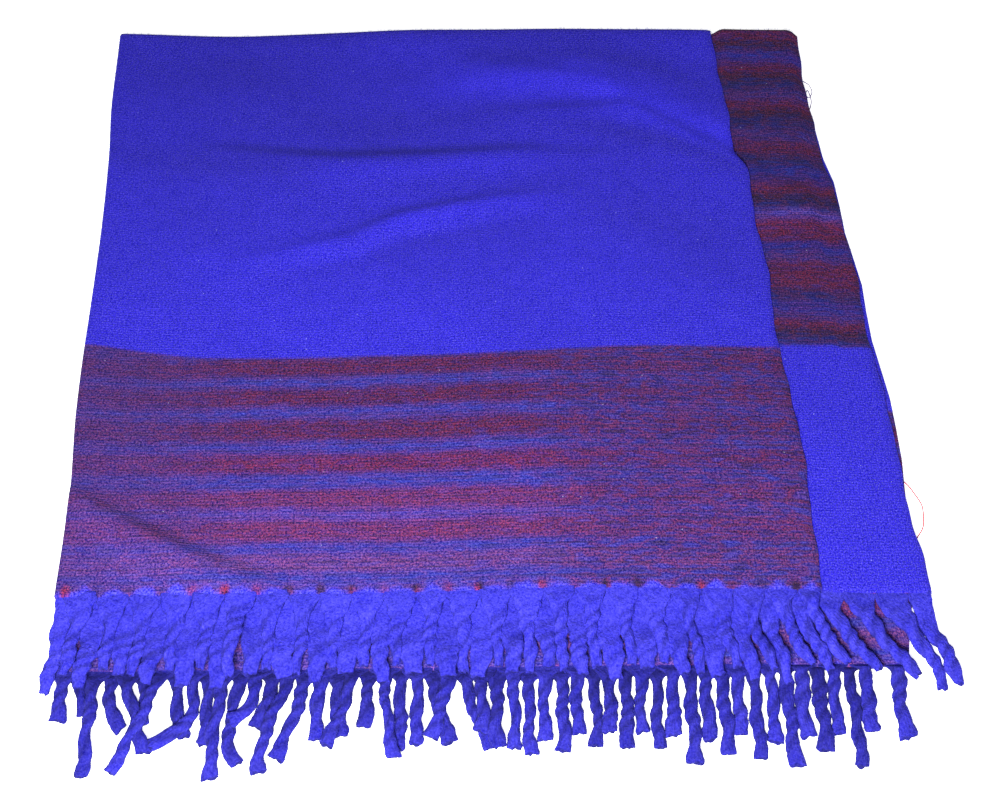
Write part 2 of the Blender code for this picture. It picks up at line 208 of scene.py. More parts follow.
# How far the upper strands lean to the right at places from left to right
Lean = namedtuple("Lean", "x side")
UPPER_LEANS = (
    Lean(-0.320, -0.005),
    Lean(-0.280, -0.001),
    Lean(0.000, 0.001),
    Lean(0.150, 0.008),
    Lean(0.200, 0.014),
    Lean(0.230, 0.022),
    Lean(0.250, 0.034),
    Lean(0.285, 0.034),
    Lean(0.310, 0.020),
)

# Strands that strayed: how far the tip lies to the right of its root and in front of it, and how
# far the middle bows to the right
Stray = namedtuple("Stray", "row number side reach bow")
STRAYS = (
    Stray("third", 0, -0.001, 0.034, 0.000),
    Stray("bottom", 0, 0.006, 0.030, 0.000),
    Stray("third", 1, -0.001, 0.074, 0.001),
    Stray("bottom", 1, 0.011, 0.041, -0.004),
    Stray("third", 2, 0.018, 0.060, 0.003),
    Stray("bottom", 2, 0.003, 0.038, 0.000),
    Stray("third", 3, -0.024, 0.075, 0.000),
    Stray("bottom", 3, 0.009, 0.048, 0.000),
    Stray("third", 4, -0.022, 0.057, 0.014),
    Stray("bottom", 4, 0.000, 0.053, 0.002),
    Stray("third", 5, -0.002, 0.078, -0.002),
    Stray("bottom", 5, 0.003, 0.068, -0.007),
    Stray("third", 6, -0.015, 0.040, 0.006),
    Stray("bottom", 6, -0.008, 0.041, 0.000),
    Stray("third", 7, -0.015, 0.074, -0.006),
    Stray("bottom", 7, -0.017, 0.064, 0.000),
    Stray("bottom", 8, 0.004, 0.048, 0.000),
    Stray("third", 9, -0.016, 0.057, 0.000),
    Stray("bottom", 9, -0.002, 0.042, 0.000),
    Stray("third", 10, 0.009, 0.066, 0.000),
    Stray("bottom", 11, 0.013, 0.053, 0.000),
    Stray("third", 12, -0.012, 0.052, 0.000),
    Stray("bottom", 12, 0.019, 0.057, 0.000),
    Stray("second", 26, 0.028, 0.072, 0.009),
    Stray("second", 27, 0.017, 0.070, 0.004),
)
STRAY_SEED = 7
SIDE_SPREAD = 0.0016
REACH_SPREAD = 0.006
BOW_SPREAD = 0.0015

# How a strand comes to rest
LEAVE_SHARE = 0.333
TURN_SHARE = 0.72
DRAPE_SLOPE = 0.4
TRACK_STEPS = 48
STOPS = 6
STOP_WINDOW = 0.8
LAID_WIDTH = 0.008
LAID_HEIGHT = 0.006
PIECE_GAP = 0.0003
SIDE_CLEARANCE = 0.001
NEIGHBOUR_REACH = 0.1

# How fine the cloth's surface is worked out
TOP_COLUMNS = 140
SECOND_COLUMNS = 56
MARGIN_COLUMNS = 20
UPPER_ROWS_OF_POINTS = 140
LOWER_ROWS_OF_POINTS = 22
BEND_STEPS = 8
RIM_STEPS = 4
EDGE_SHARES = (0.0, 0.0015, 0.0035, 0.0065, 0.0105)
EDGE_RUN = 0.006
EDGE_THINNING = 0.55

# How fine a strand is worked out, and how it changes from its root to its tip
ROPE_RINGS = 46
ROPE_SIDES = 20
PLY_OFFSET = 0.25
PLY_RADIUS = 0.75
TONGUE = 0.004
ROOT_MARGIN = 0.38
ROOT_OVERLAP = 1.10
ROOT_SQUARE = 0.24
ROOT_FLATNESS = 0.72
ROOT_NARROWING = 0.14
ROOT_THICKNESS = 0.70
ROOT_THICKENING = 0.24
SETTLE_REACH = 0.006
FLOOR_GAP = 0.0002
TIP_REACH = 0.009
CAP_SHARE = 0.55
CAP_BULGE = 0.0006

# A cut tip and a tapered one: how much thinner than the strand, and how flat
Tip = namedtuple("Tip", "thinning flatness")
CUT_TIP = Tip(0.28, 0.75)
TAPERED_TIP = Tip(0.45, 0.50)

# Where the strands come loose from each other, from left to right
Loose = namedtuple("Loose", "x share")
LOOSENESS = (
    Loose(0.170, 0.0),
    Loose(0.210, 1.0),
    Loose(0.275, 1.0),
    Loose(0.300, 0.3),
)

# How one strand differs from the next, and a strand along its own length
WIDTH_SPREAD = (0.88, 1.10)
FAN_SPREAD = (0.70, 1.25)
TWIST_SPREAD = (0.88, 1.15)
TWIST_WANDER = (0.5, 1.2)
WANDER_LENGTH = 0.047
SWAY = 0.0009
SWAY_LENGTH = 0.034
SWAY_FROM = 0.02
SWELL = 0.09
SWELL_LENGTHS = (0.028, 0.050)
LUMPS = 0.026
JAG = 0.0011

# Weft stripes, from the fringed end inwards: the dye, and how wide the stripe is
Stripe = namedtuple("Stripe", "dye width")
BAND_STRIPES = (
    Stripe("violet", 0.008),
    Stripe("sky", 0.010),
    Stripe("mauve", 0.015),
    Stripe("sky", 0.010),
    Stripe("rose", 0.018),
    Stripe("violet", 0.010),
    Stripe("rose", 0.018),
    Stripe("sky", 0.013),
    Stripe("brick", 0.018),
    Stripe("sky", 0.011),
    Stripe("wine", 0.021),
    Stripe("sky", 0.012),
    Stripe("wine", 0.018),
    Stripe("sky", 0.011),
    Stripe("wine", 0.016),
    Stripe("plum", 0.009),
)
BACK_STRIPES = (
    Stripe("slate", 0.009),
    Stripe("navy", 0.006),
    Stripe("umber", 0.006),
    Stripe("wine", 0.010),
    Stripe("plum", 0.009),
    Stripe("slate", 0.012),
    Stripe("navy", 0.008),
    Stripe("wine", 0.021),
    Stripe("wine", 0.010),
    Stripe("plum", 0.011),
    Stripe("slate", 0.013),
    Stripe("wine", 0.010),
    Stripe("brick", 0.017),
    Stripe("violet", 0.009),
    Stripe("navy", 0.007),
    Stripe("umber", 0.007),
    Stripe("wine", 0.016),
    Stripe("slate", 0.023),
    Stripe("navy", 0.009),
    Stripe("wine", 0.016),
    Stripe("plum", 0.020),
    Stripe("navy", 0.011),
    Stripe("umber", 0.010),
    Stripe("wine", 0.010),
    Stripe("plum", 0.017),
    Stripe("navy", 0.009),
    Stripe("umber", 0.009),
    Stripe("wine", 0.009),
    Stripe("slate", 0.021),
    Stripe("umber", 0.010),
    Stripe("wine", 0.011),
    Stripe("navy", 0.028),
)
BAND_LENGTH = sum(stripe.width for stripe in BAND_STRIPES)
BACK_LENGTH = sum(stripe.width for stripe in BACK_STRIPES)

# Stops of a stripe ramp: the most that a ramp holds, and the width from which a stripe has two
MOST_STOPS = 32
BROAD = 0.0125

# The yarn's own dye changes, as shares of a noise, and the dark weft rows
YARN_TURNS = (
    (0.36, "umber"),
    (0.42, "slate"),
    (0.46, "plum"),
    (0.50, "brick"),
    (0.54, "wine"),
    (0.60, "slate"),
    (0.66, "sky"),
)
DARK_LINE_SPACING = 0.0054
DASHES_A_METRE = 54.0
DASHES_A_PICK = 0.44
STRIPE_DRIFT = 0.007

# How much the brushed nap breaks up the colour of the field and of the stripes
FIELD_GRAIN = 2.7
WEFT_GRAIN = 3.3
RED_GREEN_GRAIN = 2.8

# How clearly the broad stripes and the single dashes of yarn stand out from the mixed wool, from
# the top layer's edge round the left fold to the second's
Clearness = namedtuple("Clearness", "across stripes dashes")
CLEARNESS = (
    Clearness(-0.560, 0.60, 0.55),
    Clearness(-0.440, 0.36, 0.52),
    Clearness(-0.390, 0.55, 0.48),
    Clearness(-0.340, 1.00, 0.34),
    Clearness(-0.140, 0.95, 0.30),
    Clearness(-0.080, 0.50, 0.28),
    Clearness(-0.020, 0.30, 0.22),
    Clearness(0.200, 0.95, 0.30),
    Clearness(0.640, 1.00, 0.30),
)

# How far from the fringed end the band stops, from the top layer's edge to the second's
BandEdge = namedtuple("BandEdge", "across from_end")
BAND_EDGES = (
    BandEdge(-0.560, 0.2190),
    BandEdge(-0.460, 0.2180),
    BandEdge(-0.340, 0.2130),
    BandEdge(-0.160, 0.2115),
    BandEdge(-0.100, 0.2130),
    BandEdge(-0.030, 0.2220),
    BandEdge(0.000, 0.2250),
    BandEdge(0.540, 0.2225),
    BandEdge(0.640, 0.2240),
)

# Loose threads at the right side: the dye, how far a thread starts above the floor, the run in
# which it falls, and the places that it passes through
Thread = namedtuple("Thread", "name dye radius rise fall places")
THREADS = (
    Thread("loose_thread", "scarlet", 0.00045, 0.0022, 0.012, (
        (0.3075, -0.070), (0.3150, -0.080), (0.3205, -0.094),
        (0.3190, -0.108), (0.3120, -0.120), (0.3050, -0.128),
    )),
    Thread("looped_thread", "plum", 0.00040, 0.0074, 0.040, (
        (0.2781, 0.3505), (0.2831, 0.3454), (0.2849, 0.3378), (0.2815, 0.3314),
        (0.2793, 0.3365), (0.2818, 0.3429), (0.2842, 0.3314), (0.2823, 0.3226), (0.2781, 0.3176),
    )),
)
Place = namedtuple("Place", "at x y")
THREAD_SIDES = 6
THREAD_STEPS = 40

# Wool hairs: how long and thick, how deep they start, and where they stand
HAIR_LENGTH = 0.0042
HAIR_RADIUS = 0.00012
HAIR_DEPTH = 0.0004
HAIR_LEVEL = 0.75
HAIR_LOWEST = 0.0004
CLOTH_HAIRS = 7000
STRAND_HAIRS = 7000

# The stage: the camera, the floor, one softbox by the camera and the light of a white room
CAMERA_DISTANCE = 1.1897
CAMERA_ELEVATION = math.radians(56.6)
LENS = 54.0
SENSOR_WIDTH = 36.0
FLOOR_SIZE = 8.0
SOFTBOX_PLACE = (-0.10, -0.90, 0.85)
SOFTBOX_SIZE = 0.35
SOFTBOX_POWER = 37.0
ROOM_LIGHT = 0.22
PAPER_GLOW = 0.8


def column_of(table, name):
    """One field of every row of a table, as an array."""
    return np.array([getattr(row, name) for row in table])


def read_curve(table, key, name, at):
    """Smooth reading between a table's rows.

    Between two rows it is the cubic that meets both values and both slopes. A row's slope is the
    harmonic mean of the slopes beside it, or level where they differ in sign, so the curve never
    runs past its rows.
    """
    keys, values = column_of(table, key), column_of(table, name)
    steps = np.diff(values) / np.diff(keys)
    slopes = np.concatenate([steps[:1], np.zeros(len(steps) - 1), steps[-1:]])
    agree = np.flatnonzero(steps[:-1] * steps[1:] > 0)
    slopes[agree + 1] = 2 * steps[agree] * steps[agree + 1] / (steps[agree] + steps[agree + 1])
    before = np.clip(np.searchsorted(keys, at, side="right") - 1, 0, len(keys) - 2)
    run = keys[before + 1] - keys[before]
    t = np.clip((at - keys[before]) / run, 0.0, 1.0)
    rise = values[before + 1] - values[before]
    bend = t * t * (3 - 2 * t)
    start = t * (1 - t) ** 2 * slopes[before]
    stop = t * t * (t - 1) * slopes[before + 1]
    return values[before] + rise * bend + run * (start + stop)


def waves(table, x, y):
    """Sum of plain sine waves, each with its own height, direction and phase."""
    total = np.zeros(np.broadcast(x, y).shape)
    for wave in table:
        turns = wave.x_turns * x + wave.y_turns * y
        total = total + wave.height * np.sin(2 * math.pi * turns + wave.phase)
    return total


def crease_height(crease, x, y):
    """Height of one crease over the whole grid.

    It falls off as exp(-(distance / reach)^2) from the crease's line, with one reach on the near
    side and another on the far side, and swells and fades along the line as a half sine.
    """
    places = np.array(crease.places)
    runs = np.linalg.norm(np.diff(places, axis=0), axis=1)
    starts = np.concatenate([[0.0], np.cumsum(runs)])
    nearest = np.full(x.shape, np.inf)
    height = np.zeros(x.shape)
    for start, stop, run, done in zip(places, places[1:], runs, starts):
        way = (stop - start) / run
        along = np.clip((x - start[0]) * way[0] + (y - start[1]) * way[1], 0.0, run)
        off_x = x - start[0] - along * way[0]
        off_y = y - start[1] - along * way[1]
        away = np.hypot(off_x, off_y)
        reach = np.where(off_y * way[0] - off_x * way[1] < 0, crease.near, crease.far)
        swell = np.clip(np.sin(math.pi * (done + along) / starts[-1]), 0.0, 1.0) ** 0.7
        here = crease.height * swell * np.exp(-((away / reach) ** 2))
        height = np.where(away < nearest, here, height)
        nearest = np.minimum(away, nearest)
    return height


def relief(x, y, left, far):
    """How far the top layer stands above its flat place: creases, waves and puff along the folds."""
    total = sum(crease_height(crease, x, y) for crease in CREASES) + waves(WAVES, x, y)
    far_puff = np.exp(-(((far - y) / PUFF_REACH) ** 2))
    left_puff = np.exp(-(((x - left) / PUFF_REACH) ** 2))
    return total + FOLD_PUFF * np.maximum(far_puff, left_puff)


def fold(x, turn, distance, roll, free=0.0):
    """Middle of the cloth's thickness, in the pile's own metres, for arrays of places.

    turn runs round the left fold, 0 on the outer layer and pi on the inner one; roll runs round the
    far fold, 0 on the upper pair of layers and pi on the lower pair. Each fold is a half circle
    about its axis, and the far fold's radius grows with the layer's place in the pair. The relief
    lifts the top layer fully, the second layer by half and the lower pair not at all. Where the
    layer lies free, past the narrow layer's edge, the far fold opens out a little and the relief
    shows more.
    """
    lower = roll > math.pi / 2
    far = read_curve(ENDS, "x", "far", x)
    end = np.where(lower, read_curve(ENDS, "x", "lower", x), read_curve(ENDS, "x", "upper", x))
    length = np.where(lower, LOWER_LENGTH, UPPER_LENGTH)
    left = read_curve(SIDES, "distance", "left", distance)
    half = context_cloth().thickness / 2
    axis_y = far - OUTERMOST - half
    opened = FREE_RISE * free * np.exp(-((distance / FREE_REACH) ** 2))
    radius = LAYER_PITCH + BEND * np.cos(turn) + opened
    y = axis_y + radius * np.sin(roll) - distance * (axis_y - end) / length
    height = OUTERMOST + radius * np.cos(roll)
    share = np.clip(height / LAYER_PITCH - 1, 0.0, 2.0) / 2 * (1 + FREE_RELIEF * free)
    lift = context_cloth().crease_strength * share * relief(x, y, left, far)
    return np.stack(np.broadcast_arrays(x - BEND * np.sin(turn), y, half + height + lift), axis=-1)


def left_axis(distance):
    """Axis of the left fold, whose outer face lies on the pile's left side."""
    left = read_curve(SIDES, "distance", "left", distance)
    return left + (LAYER_PITCH + context_cloth().thickness) / 2


def across(share, distance, roll):
    """Place across a layer: 0 at the left fold, 1 at the narrow layer's edge, 2 at the wide one's."""
    lower = roll > math.pi / 2
    edges = []
    for lower_name, upper_name in (("bottom_right", "top_right"), ("third_right", "second_right")):
        low = read_curve(SIDES, "distance", lower_name, distance)
        edges.append(np.where(lower, low, read_curve(SIDES, "distance", upper_name, distance)))
    narrow, wide = edges
    axis = left_axis(distance)
    inner = axis + np.minimum(share, 1.0) * (narrow - axis)
    rim = np.clip(share - 0.9, 0.0, 0.1) / 0.1
    return inner + np.maximum(share - 1.0, 0.0) * (wide - narrow) + rim * waves(EDGE_WAVES, 0.0, distance)


def pile_shift():
    """Moves the pile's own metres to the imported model's frame, by its left and far sides."""
    low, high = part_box("blanket_cloth")
    left = column_of(SIDES, "left").min()
    far = column_of(ENDS, "far").max()
    return np.array([low.x - left, high.y - far, 0.0])


def context_cloth():
    """The cloth's sizes as the user has set them."""
    return bpy.context.scene.blanket_cloth


def context_fringe():
    """The fringe's sizes as the user has set them."""
    return bpy.context.scene.blanket_fringe


def context_dyes():
    """The wool's colours as the user has set them."""
    return bpy.context.scene.blanket_dyes


def grid_faces(rows, columns):
    """Four-sided faces of a grid of points, row after row."""
    first = np.arange(rows - 1)[:, None] * columns + np.arange(columns - 1)[None, :]
    return np.stack([first, first + columns, first + columns + 1, first + 1], axis=-1).reshape(-1, 4)


def tube_faces(rings, sides):
    """Four-sided faces of rings of points, each ring closed on itself."""
    ring = np.arange(rings - 1)[:, None] * sides
    side = np.arange(sides)[None, :]
    after = (side + 1) % sides
    corners = [ring + side, ring + after, ring + sides + after, ring + sides + side]
    return np.stack(corners, axis=-1).reshape(-1, 4)


def fan_faces(centre, ring, outwards):
    """Triangles from a ring of points to its centre."""
    after = np.roll(ring, -1)
    middle = np.full(len(ring), centre)
    return np.stack([ring, after, middle] if outwards else [after, ring, middle], axis=-1)


def new_piece(name, points, faces, values, flat, material):
    """A smooth-shaded piece from arrays: points, faces, numbers at the points, and a UV map."""
    mesh = bpy.data.meshes.new(name)
    mesh.from_pydata(points.tolist(), [], [face for part in faces for face in part.tolist()])
    for label, numbers in values.items():
        attribute = mesh.attributes.new(label, "FLOAT", "POINT")
        attribute.data.foreach_set("value", numbers.astype(np.float32))
    corners = np.empty(len(mesh.loops), np.int32)
    mesh.loops.foreach_get("vertex_index", corners)
    layer = mesh.uv_layers.new(name="Laid_flat")
    layer.uv.foreach_set("vector", flat[corners].astype(np.float32).ravel())
    mesh.materials.append(material)
    mesh.shade_smooth()
    mesh.update()
    piece = bpy.data.objects.new(name, mesh)
    bpy.context.scene.collection.objects.link(piece)
    return piece


# The cloth


def cloth_stops():
    """Stops across the cloth as (turn, share) and along it as (distance, roll), as arrays.

    Across, they run over the top layer to the left fold, round it, and over the second layer to
    its margin. Along, they run from the upper end to the far fold, round it, and to the lower end.
    """
    bends = math.pi * np.arange(1, BEND_STEPS) / BEND_STEPS
    outer = np.concatenate([1.0 - np.array(EDGE_SHARES), np.linspace(0.985, 0.0, TOP_COLUMNS)])
    inner = np.linspace(0.0, 1.0, SECOND_COLUMNS + 1)
    near_edge = 2.0 - 4.0 * np.array(EDGE_SHARES[::-1])
    margin = np.concatenate([np.linspace(1.0, 1.93, MARGIN_COLUMNS)[1:], near_edge])
    turns = np.concatenate([0 * outer, bends, np.full(len(inner) + len(margin), math.pi)])
    shares = np.concatenate([outer, 0 * bends, inner, margin])
    upper = np.linspace(UPPER_LENGTH, 0.0, UPPER_ROWS_OF_POINTS + 1)
    lower = np.linspace(0.0, LOWER_LENGTH, LOWER_ROWS_OF_POINTS + 1)
    distances = np.concatenate([upper, 0 * bends, lower])
    rolls = np.concatenate([0 * upper, bends, np.full(len(lower), math.pi)])
    return turns, shares, distances, rolls


def unit(vectors):
    """Vectors divided by their own lengths."""
    return vectors / np.linalg.norm(vectors, axis=-1, keepdims=True)


def round_the_rim(grid):
    """Walks once round a grid's border: near row, right column, far row, left column."""
    return np.concatenate([grid[0, :-1], grid[:-1, -1], grid[-1, :0:-1], grid[:0:-1, 0]])


def cloth_surface():
    """The folded cloth as one closed skin: points, faces, numbers at the points, flat places.

    The middle surface is fold(x, turn, distance, roll). The front is that surface moved along its
    normal by half the thickness, the back the other way, and the rim joins them with half circles
    that bulge outwards along the surface.
    """
    turns, shares, distances, rolls = cloth_stops()
    turn, distance = np.meshgrid(turns, distances)
    share, roll = np.meshgrid(shares, rolls)
    x = across(share, distance, roll)
    free = np.clip((share - 1.0) / FREE_SHARE, 0.0, 1.0)
    middle = fold(x, turn, distance, roll, free * free * (3 - 2 * free)) + pile_shift()
    ahead = unit(np.gradient(middle, axis=0))
    aside = unit(np.gradient(middle, axis=1))
    normal = unit(np.cross(ahead, aside))
    side_edge = np.where(turn > math.pi / 2, across(np.full(x.shape, 2.0), distance, roll) - x, 1.0)
    side_edge = np.where(turn == 0, across(np.full(x.shape, 1.0), distance, roll) - x, side_edge)
    thin = EDGE_THINNING * np.clip(1 - side_edge / EDGE_RUN, 0.0, 1.0) ** 2
    half = context_cloth().thickness / 2 * (1 - thin)
    middle[..., 2] -= (context_cloth().thickness / 2 - half) * np.where(np.cos(roll) > 0.99, 1.0, 0.0)

    from_fold = x - left_axis(distance)
    flat_x = np.where(turn == 0, -from_fold, turn * BEND)
    flat_x = np.where(turn > math.pi / 2, from_fold + math.pi * BEND, flat_x)
    flat_y = np.where(roll == 0, UPPER_LENGTH - distance, FAR_FOLD + distance)
    flat_y = np.where((roll > 0) & (roll < math.pi), UPPER_LENGTH + roll * LAYER_PITCH, flat_y)
    flat = np.stack([flat_x + FLAT_WIDTH / 2, flat_y], axis=-1)
    strand_turn = np.zeros(x.shape)
    for lower, rows in ((False, UPPER_ROWS), (True, LOWER_ROWS)):
        for row in rows:
            here = ((roll > math.pi / 2) == lower) & ((turn > math.pi / 2) == (row.turn > 0))
            phase = (x - read_curve(SIDES, "distance", "left", distance)) / row.pitch - row.phase
            strand_turn = np.where(here, np.cos(2 * math.pi * phase), strand_turn)

    on_top = (turn == 0) & (roll == 0)
    y = middle[..., 1] - pile_shift()[1]
    # Painted light and shade: lighter and darker swaths, on the top layer only
    nap_mark = np.where(on_top, sum(crease_height(mark, x, y) for mark in PAINTED_LIGHT_MARKS), 0.0)

    numbers = np.arange(middle[..., 0].size).reshape(middle.shape[:2])
    border = round_the_rim(numbers)
    outwards = np.zeros(middle.shape)
    outwards[0] -= ahead[0]
    outwards[-1] += ahead[-1]
    outwards[:, 0] -= aside[:, 0]
    outwards[:, -1] += aside[:, -1]
    rim_points, rim_sides = [], []
    for step in range(1, RIM_STEPS):
        angle = math.pi * (step / RIM_STEPS - 0.5)
        bulge = math.cos(angle) * unit(round_the_rim(outwards)) - math.sin(angle) * round_the_rim(normal)
        rim_points.append(round_the_rim(middle) + round_the_rim(half)[:, None] * bulge)
        rim_sides.append(np.full(len(border), step / RIM_STEPS))
    points = np.concatenate([
        (middle + half[..., None] * normal).reshape(-1, 3),
        (middle - half[..., None] * normal).reshape(-1, 3),
        np.concatenate(rim_points),
    ])
    size = numbers.size
    around = np.arange(len(border))
    rings = [border]
    rings += [2 * size + step * len(border) + around for step in range(RIM_STEPS - 1)]
    rings.append(border + size)
    front = grid_faces(*numbers.shape)
    faces = [front, front[:, ::-1] + size]
    for ring, after in zip(rings, rings[1:]):
        faces.append(np.stack([ring, np.roll(ring, -1), np.roll(after, -1), after], axis=-1))

    def everywhere(grid):
        """The same numbers on the front, the back and each ring of the rim."""
        faces_part = grid.reshape(size, -1)
        rim_part = round_the_rim(grid).reshape(len(border), -1)
        return np.concatenate([faces_part] * 2 + [rim_part] * (RIM_STEPS - 1))

    values = {
        "back_side": np.concatenate([np.zeros(size), np.ones(size)] + rim_sides),
        "strand_turn": everywhere(strand_turn)[:, 0],
        "clear_stripes": everywhere(read_curve(CLEARNESS, "across", "stripes", flat_x))[:, 0],
        "clear_dashes": everywhere(read_curve(CLEARNESS, "across", "dashes", flat_x))[:, 0],
        "nap_mark": everywhere(nap_mark)[:, 0],
        "band_edge": everywhere(read_curve(BAND_EDGES, "across", "from_end", flat_x))[:, 0],
    }
    return points, faces, values, everywhere(flat)


# The fringe


def smooth_track(start, leave, turn, tip):
    """Cubic curve from start to tip that sets out towards leave and comes in from turn."""
    share = np.linspace(0.0, 1.0, TRACK_STEPS + 1)[:, None]
    rest = 1 - share
    ends = rest**3 * start + share**3 * tip
    return ends + 3 * rest * share * (rest * leave + share * turn)


class Strand:
    """One twisted strand: where it starts, its track over the floor, and how high it rests."""

    def __init__(self, row, number, roll, dice):
        length = LOWER_LENGTH if roll else UPPER_LENGTH
        self.row = row
        left = float(read_curve(SIDES, "distance", "left", length))
        self.x = left + row.pitch * (number + row.phase)
        right = float(read_curve(SIDES, "distance", row.name + "_right", length))
        self.x = min(self.x, right - ROOT_MARGIN * row.pitch)
        self.root_width = min(ROOT_OVERLAP * row.pitch, 2 * (self.x - left), 2 * (right - self.x))
        root = fold(np.array([self.x]), np.array([row.turn]), np.array([length]), np.array([roll]))[0]
        self.root_bottom = root[2] - context_cloth().thickness / 2
        side, reach, bow = strand_shape(row, number, self.x, roll, dice)
        leave = root[:2] + np.array([0.0, -LEAVE_SHARE * reach])
        turn = root[:2] + np.array([side / 2 + 2 * bow, -TURN_SHARE * reach])
        tip = root[:2] + np.array([side, -reach])
        self.track = smooth_track(root[:2], leave, turn, tip)
        steps = np.linalg.norm(np.diff(self.track, axis=0), axis=1)
        self.run = np.concatenate([[0.0], np.cumsum(steps)])
        self.stops = np.linspace(0.0, self.run[-1], STOPS + 1)

    def rest_on(self, supports):
        """Settles the strand: each point is held up by the supports around it, less a slope."""
        supports[0] = max(self.root_bottom, supports[0])
        fall = DRAPE_SLOPE * np.abs(self.run[:, None] - self.run[None, :])
        rest = np.max(supports[None, :] - fall, axis=1)
        near = np.abs(self.stops[:, None] - self.run[None, :]) <= STOP_WINDOW * self.stops[1]
        at_stops = np.max(np.where(near, rest[None, :], 0.0), axis=1)
        at_stops[0] = self.root_bottom
        self.bottom = np.interp(self.run, self.stops, at_stops)


def strand_shape(row, number, x, roll, dice):
    """Lean, reach and bow of a strand: a small spread, unless it is one of the strays."""
    side = dice.uniform(-SIDE_SPREAD, SIDE_SPREAD)
    reach = row.right_reach if x > RIGHT_FROM else row.reach
    reach += dice.uniform(-REACH_SPREAD, REACH_SPREAD)
    bow = dice.uniform(-BOW_SPREAD, BOW_SPREAD)
    if not roll:
        side += float(np.interp(x, column_of(UPPER_LEANS, "x"), column_of(UPPER_LEANS, "side")))
    for stray in STRAYS:
        if (stray.row, stray.number) == (row.name, number):
            return stray.side, stray.reach, stray.bow
    return side, reach, bow


def supports_under(strand, laid, cloth_top):
    """Height of what lies under each point: the floor, the lower pair of layers or a strand."""
    supports = np.zeros(len(strand.track))
    if cloth_top:
        ends = read_curve(ENDS, "x", "lower", strand.track[:, 0])
        right = read_curve(SIDES, "distance", "third_right", LOWER_LENGTH) + LAID_WIDTH / 2
        before_end = strand.track[:, 1] > ends - SIDE_CLEARANCE
        supports[before_end & (strand.track[:, 0] < right)] = cloth_top + PIECE_GAP
    for other in laid:
        if abs(other.x - strand.x) > NEIGHBOUR_REACH:
            continue
        between = np.linalg.norm(strand.track[:, None, :] - other.track[None, :, :], axis=2)
        nearest = between.argmin(axis=1)
        touching = between.min(axis=1) < LAID_WIDTH + SIDE_CLEARANCE
        tops = other.bottom[nearest] + LAID_HEIGHT + PIECE_GAP
        supports[touching] = np.maximum(supports[touching], tops[touching])
    return supports


def lay_strands(rows, roll, laid, cloth_top):
    """Lays the strands of one end, a row at a time, each on what is already there."""
    dice = random.Random(STRAY_SEED + len(laid))
    strands = []
    for row in rows:
        for number in range(row.count):
            strand = Strand(row, number, roll, dice)
            strand.rest_on(supports_under(strand, laid + strands, cloth_top))
            strands.append(strand)
    return strands


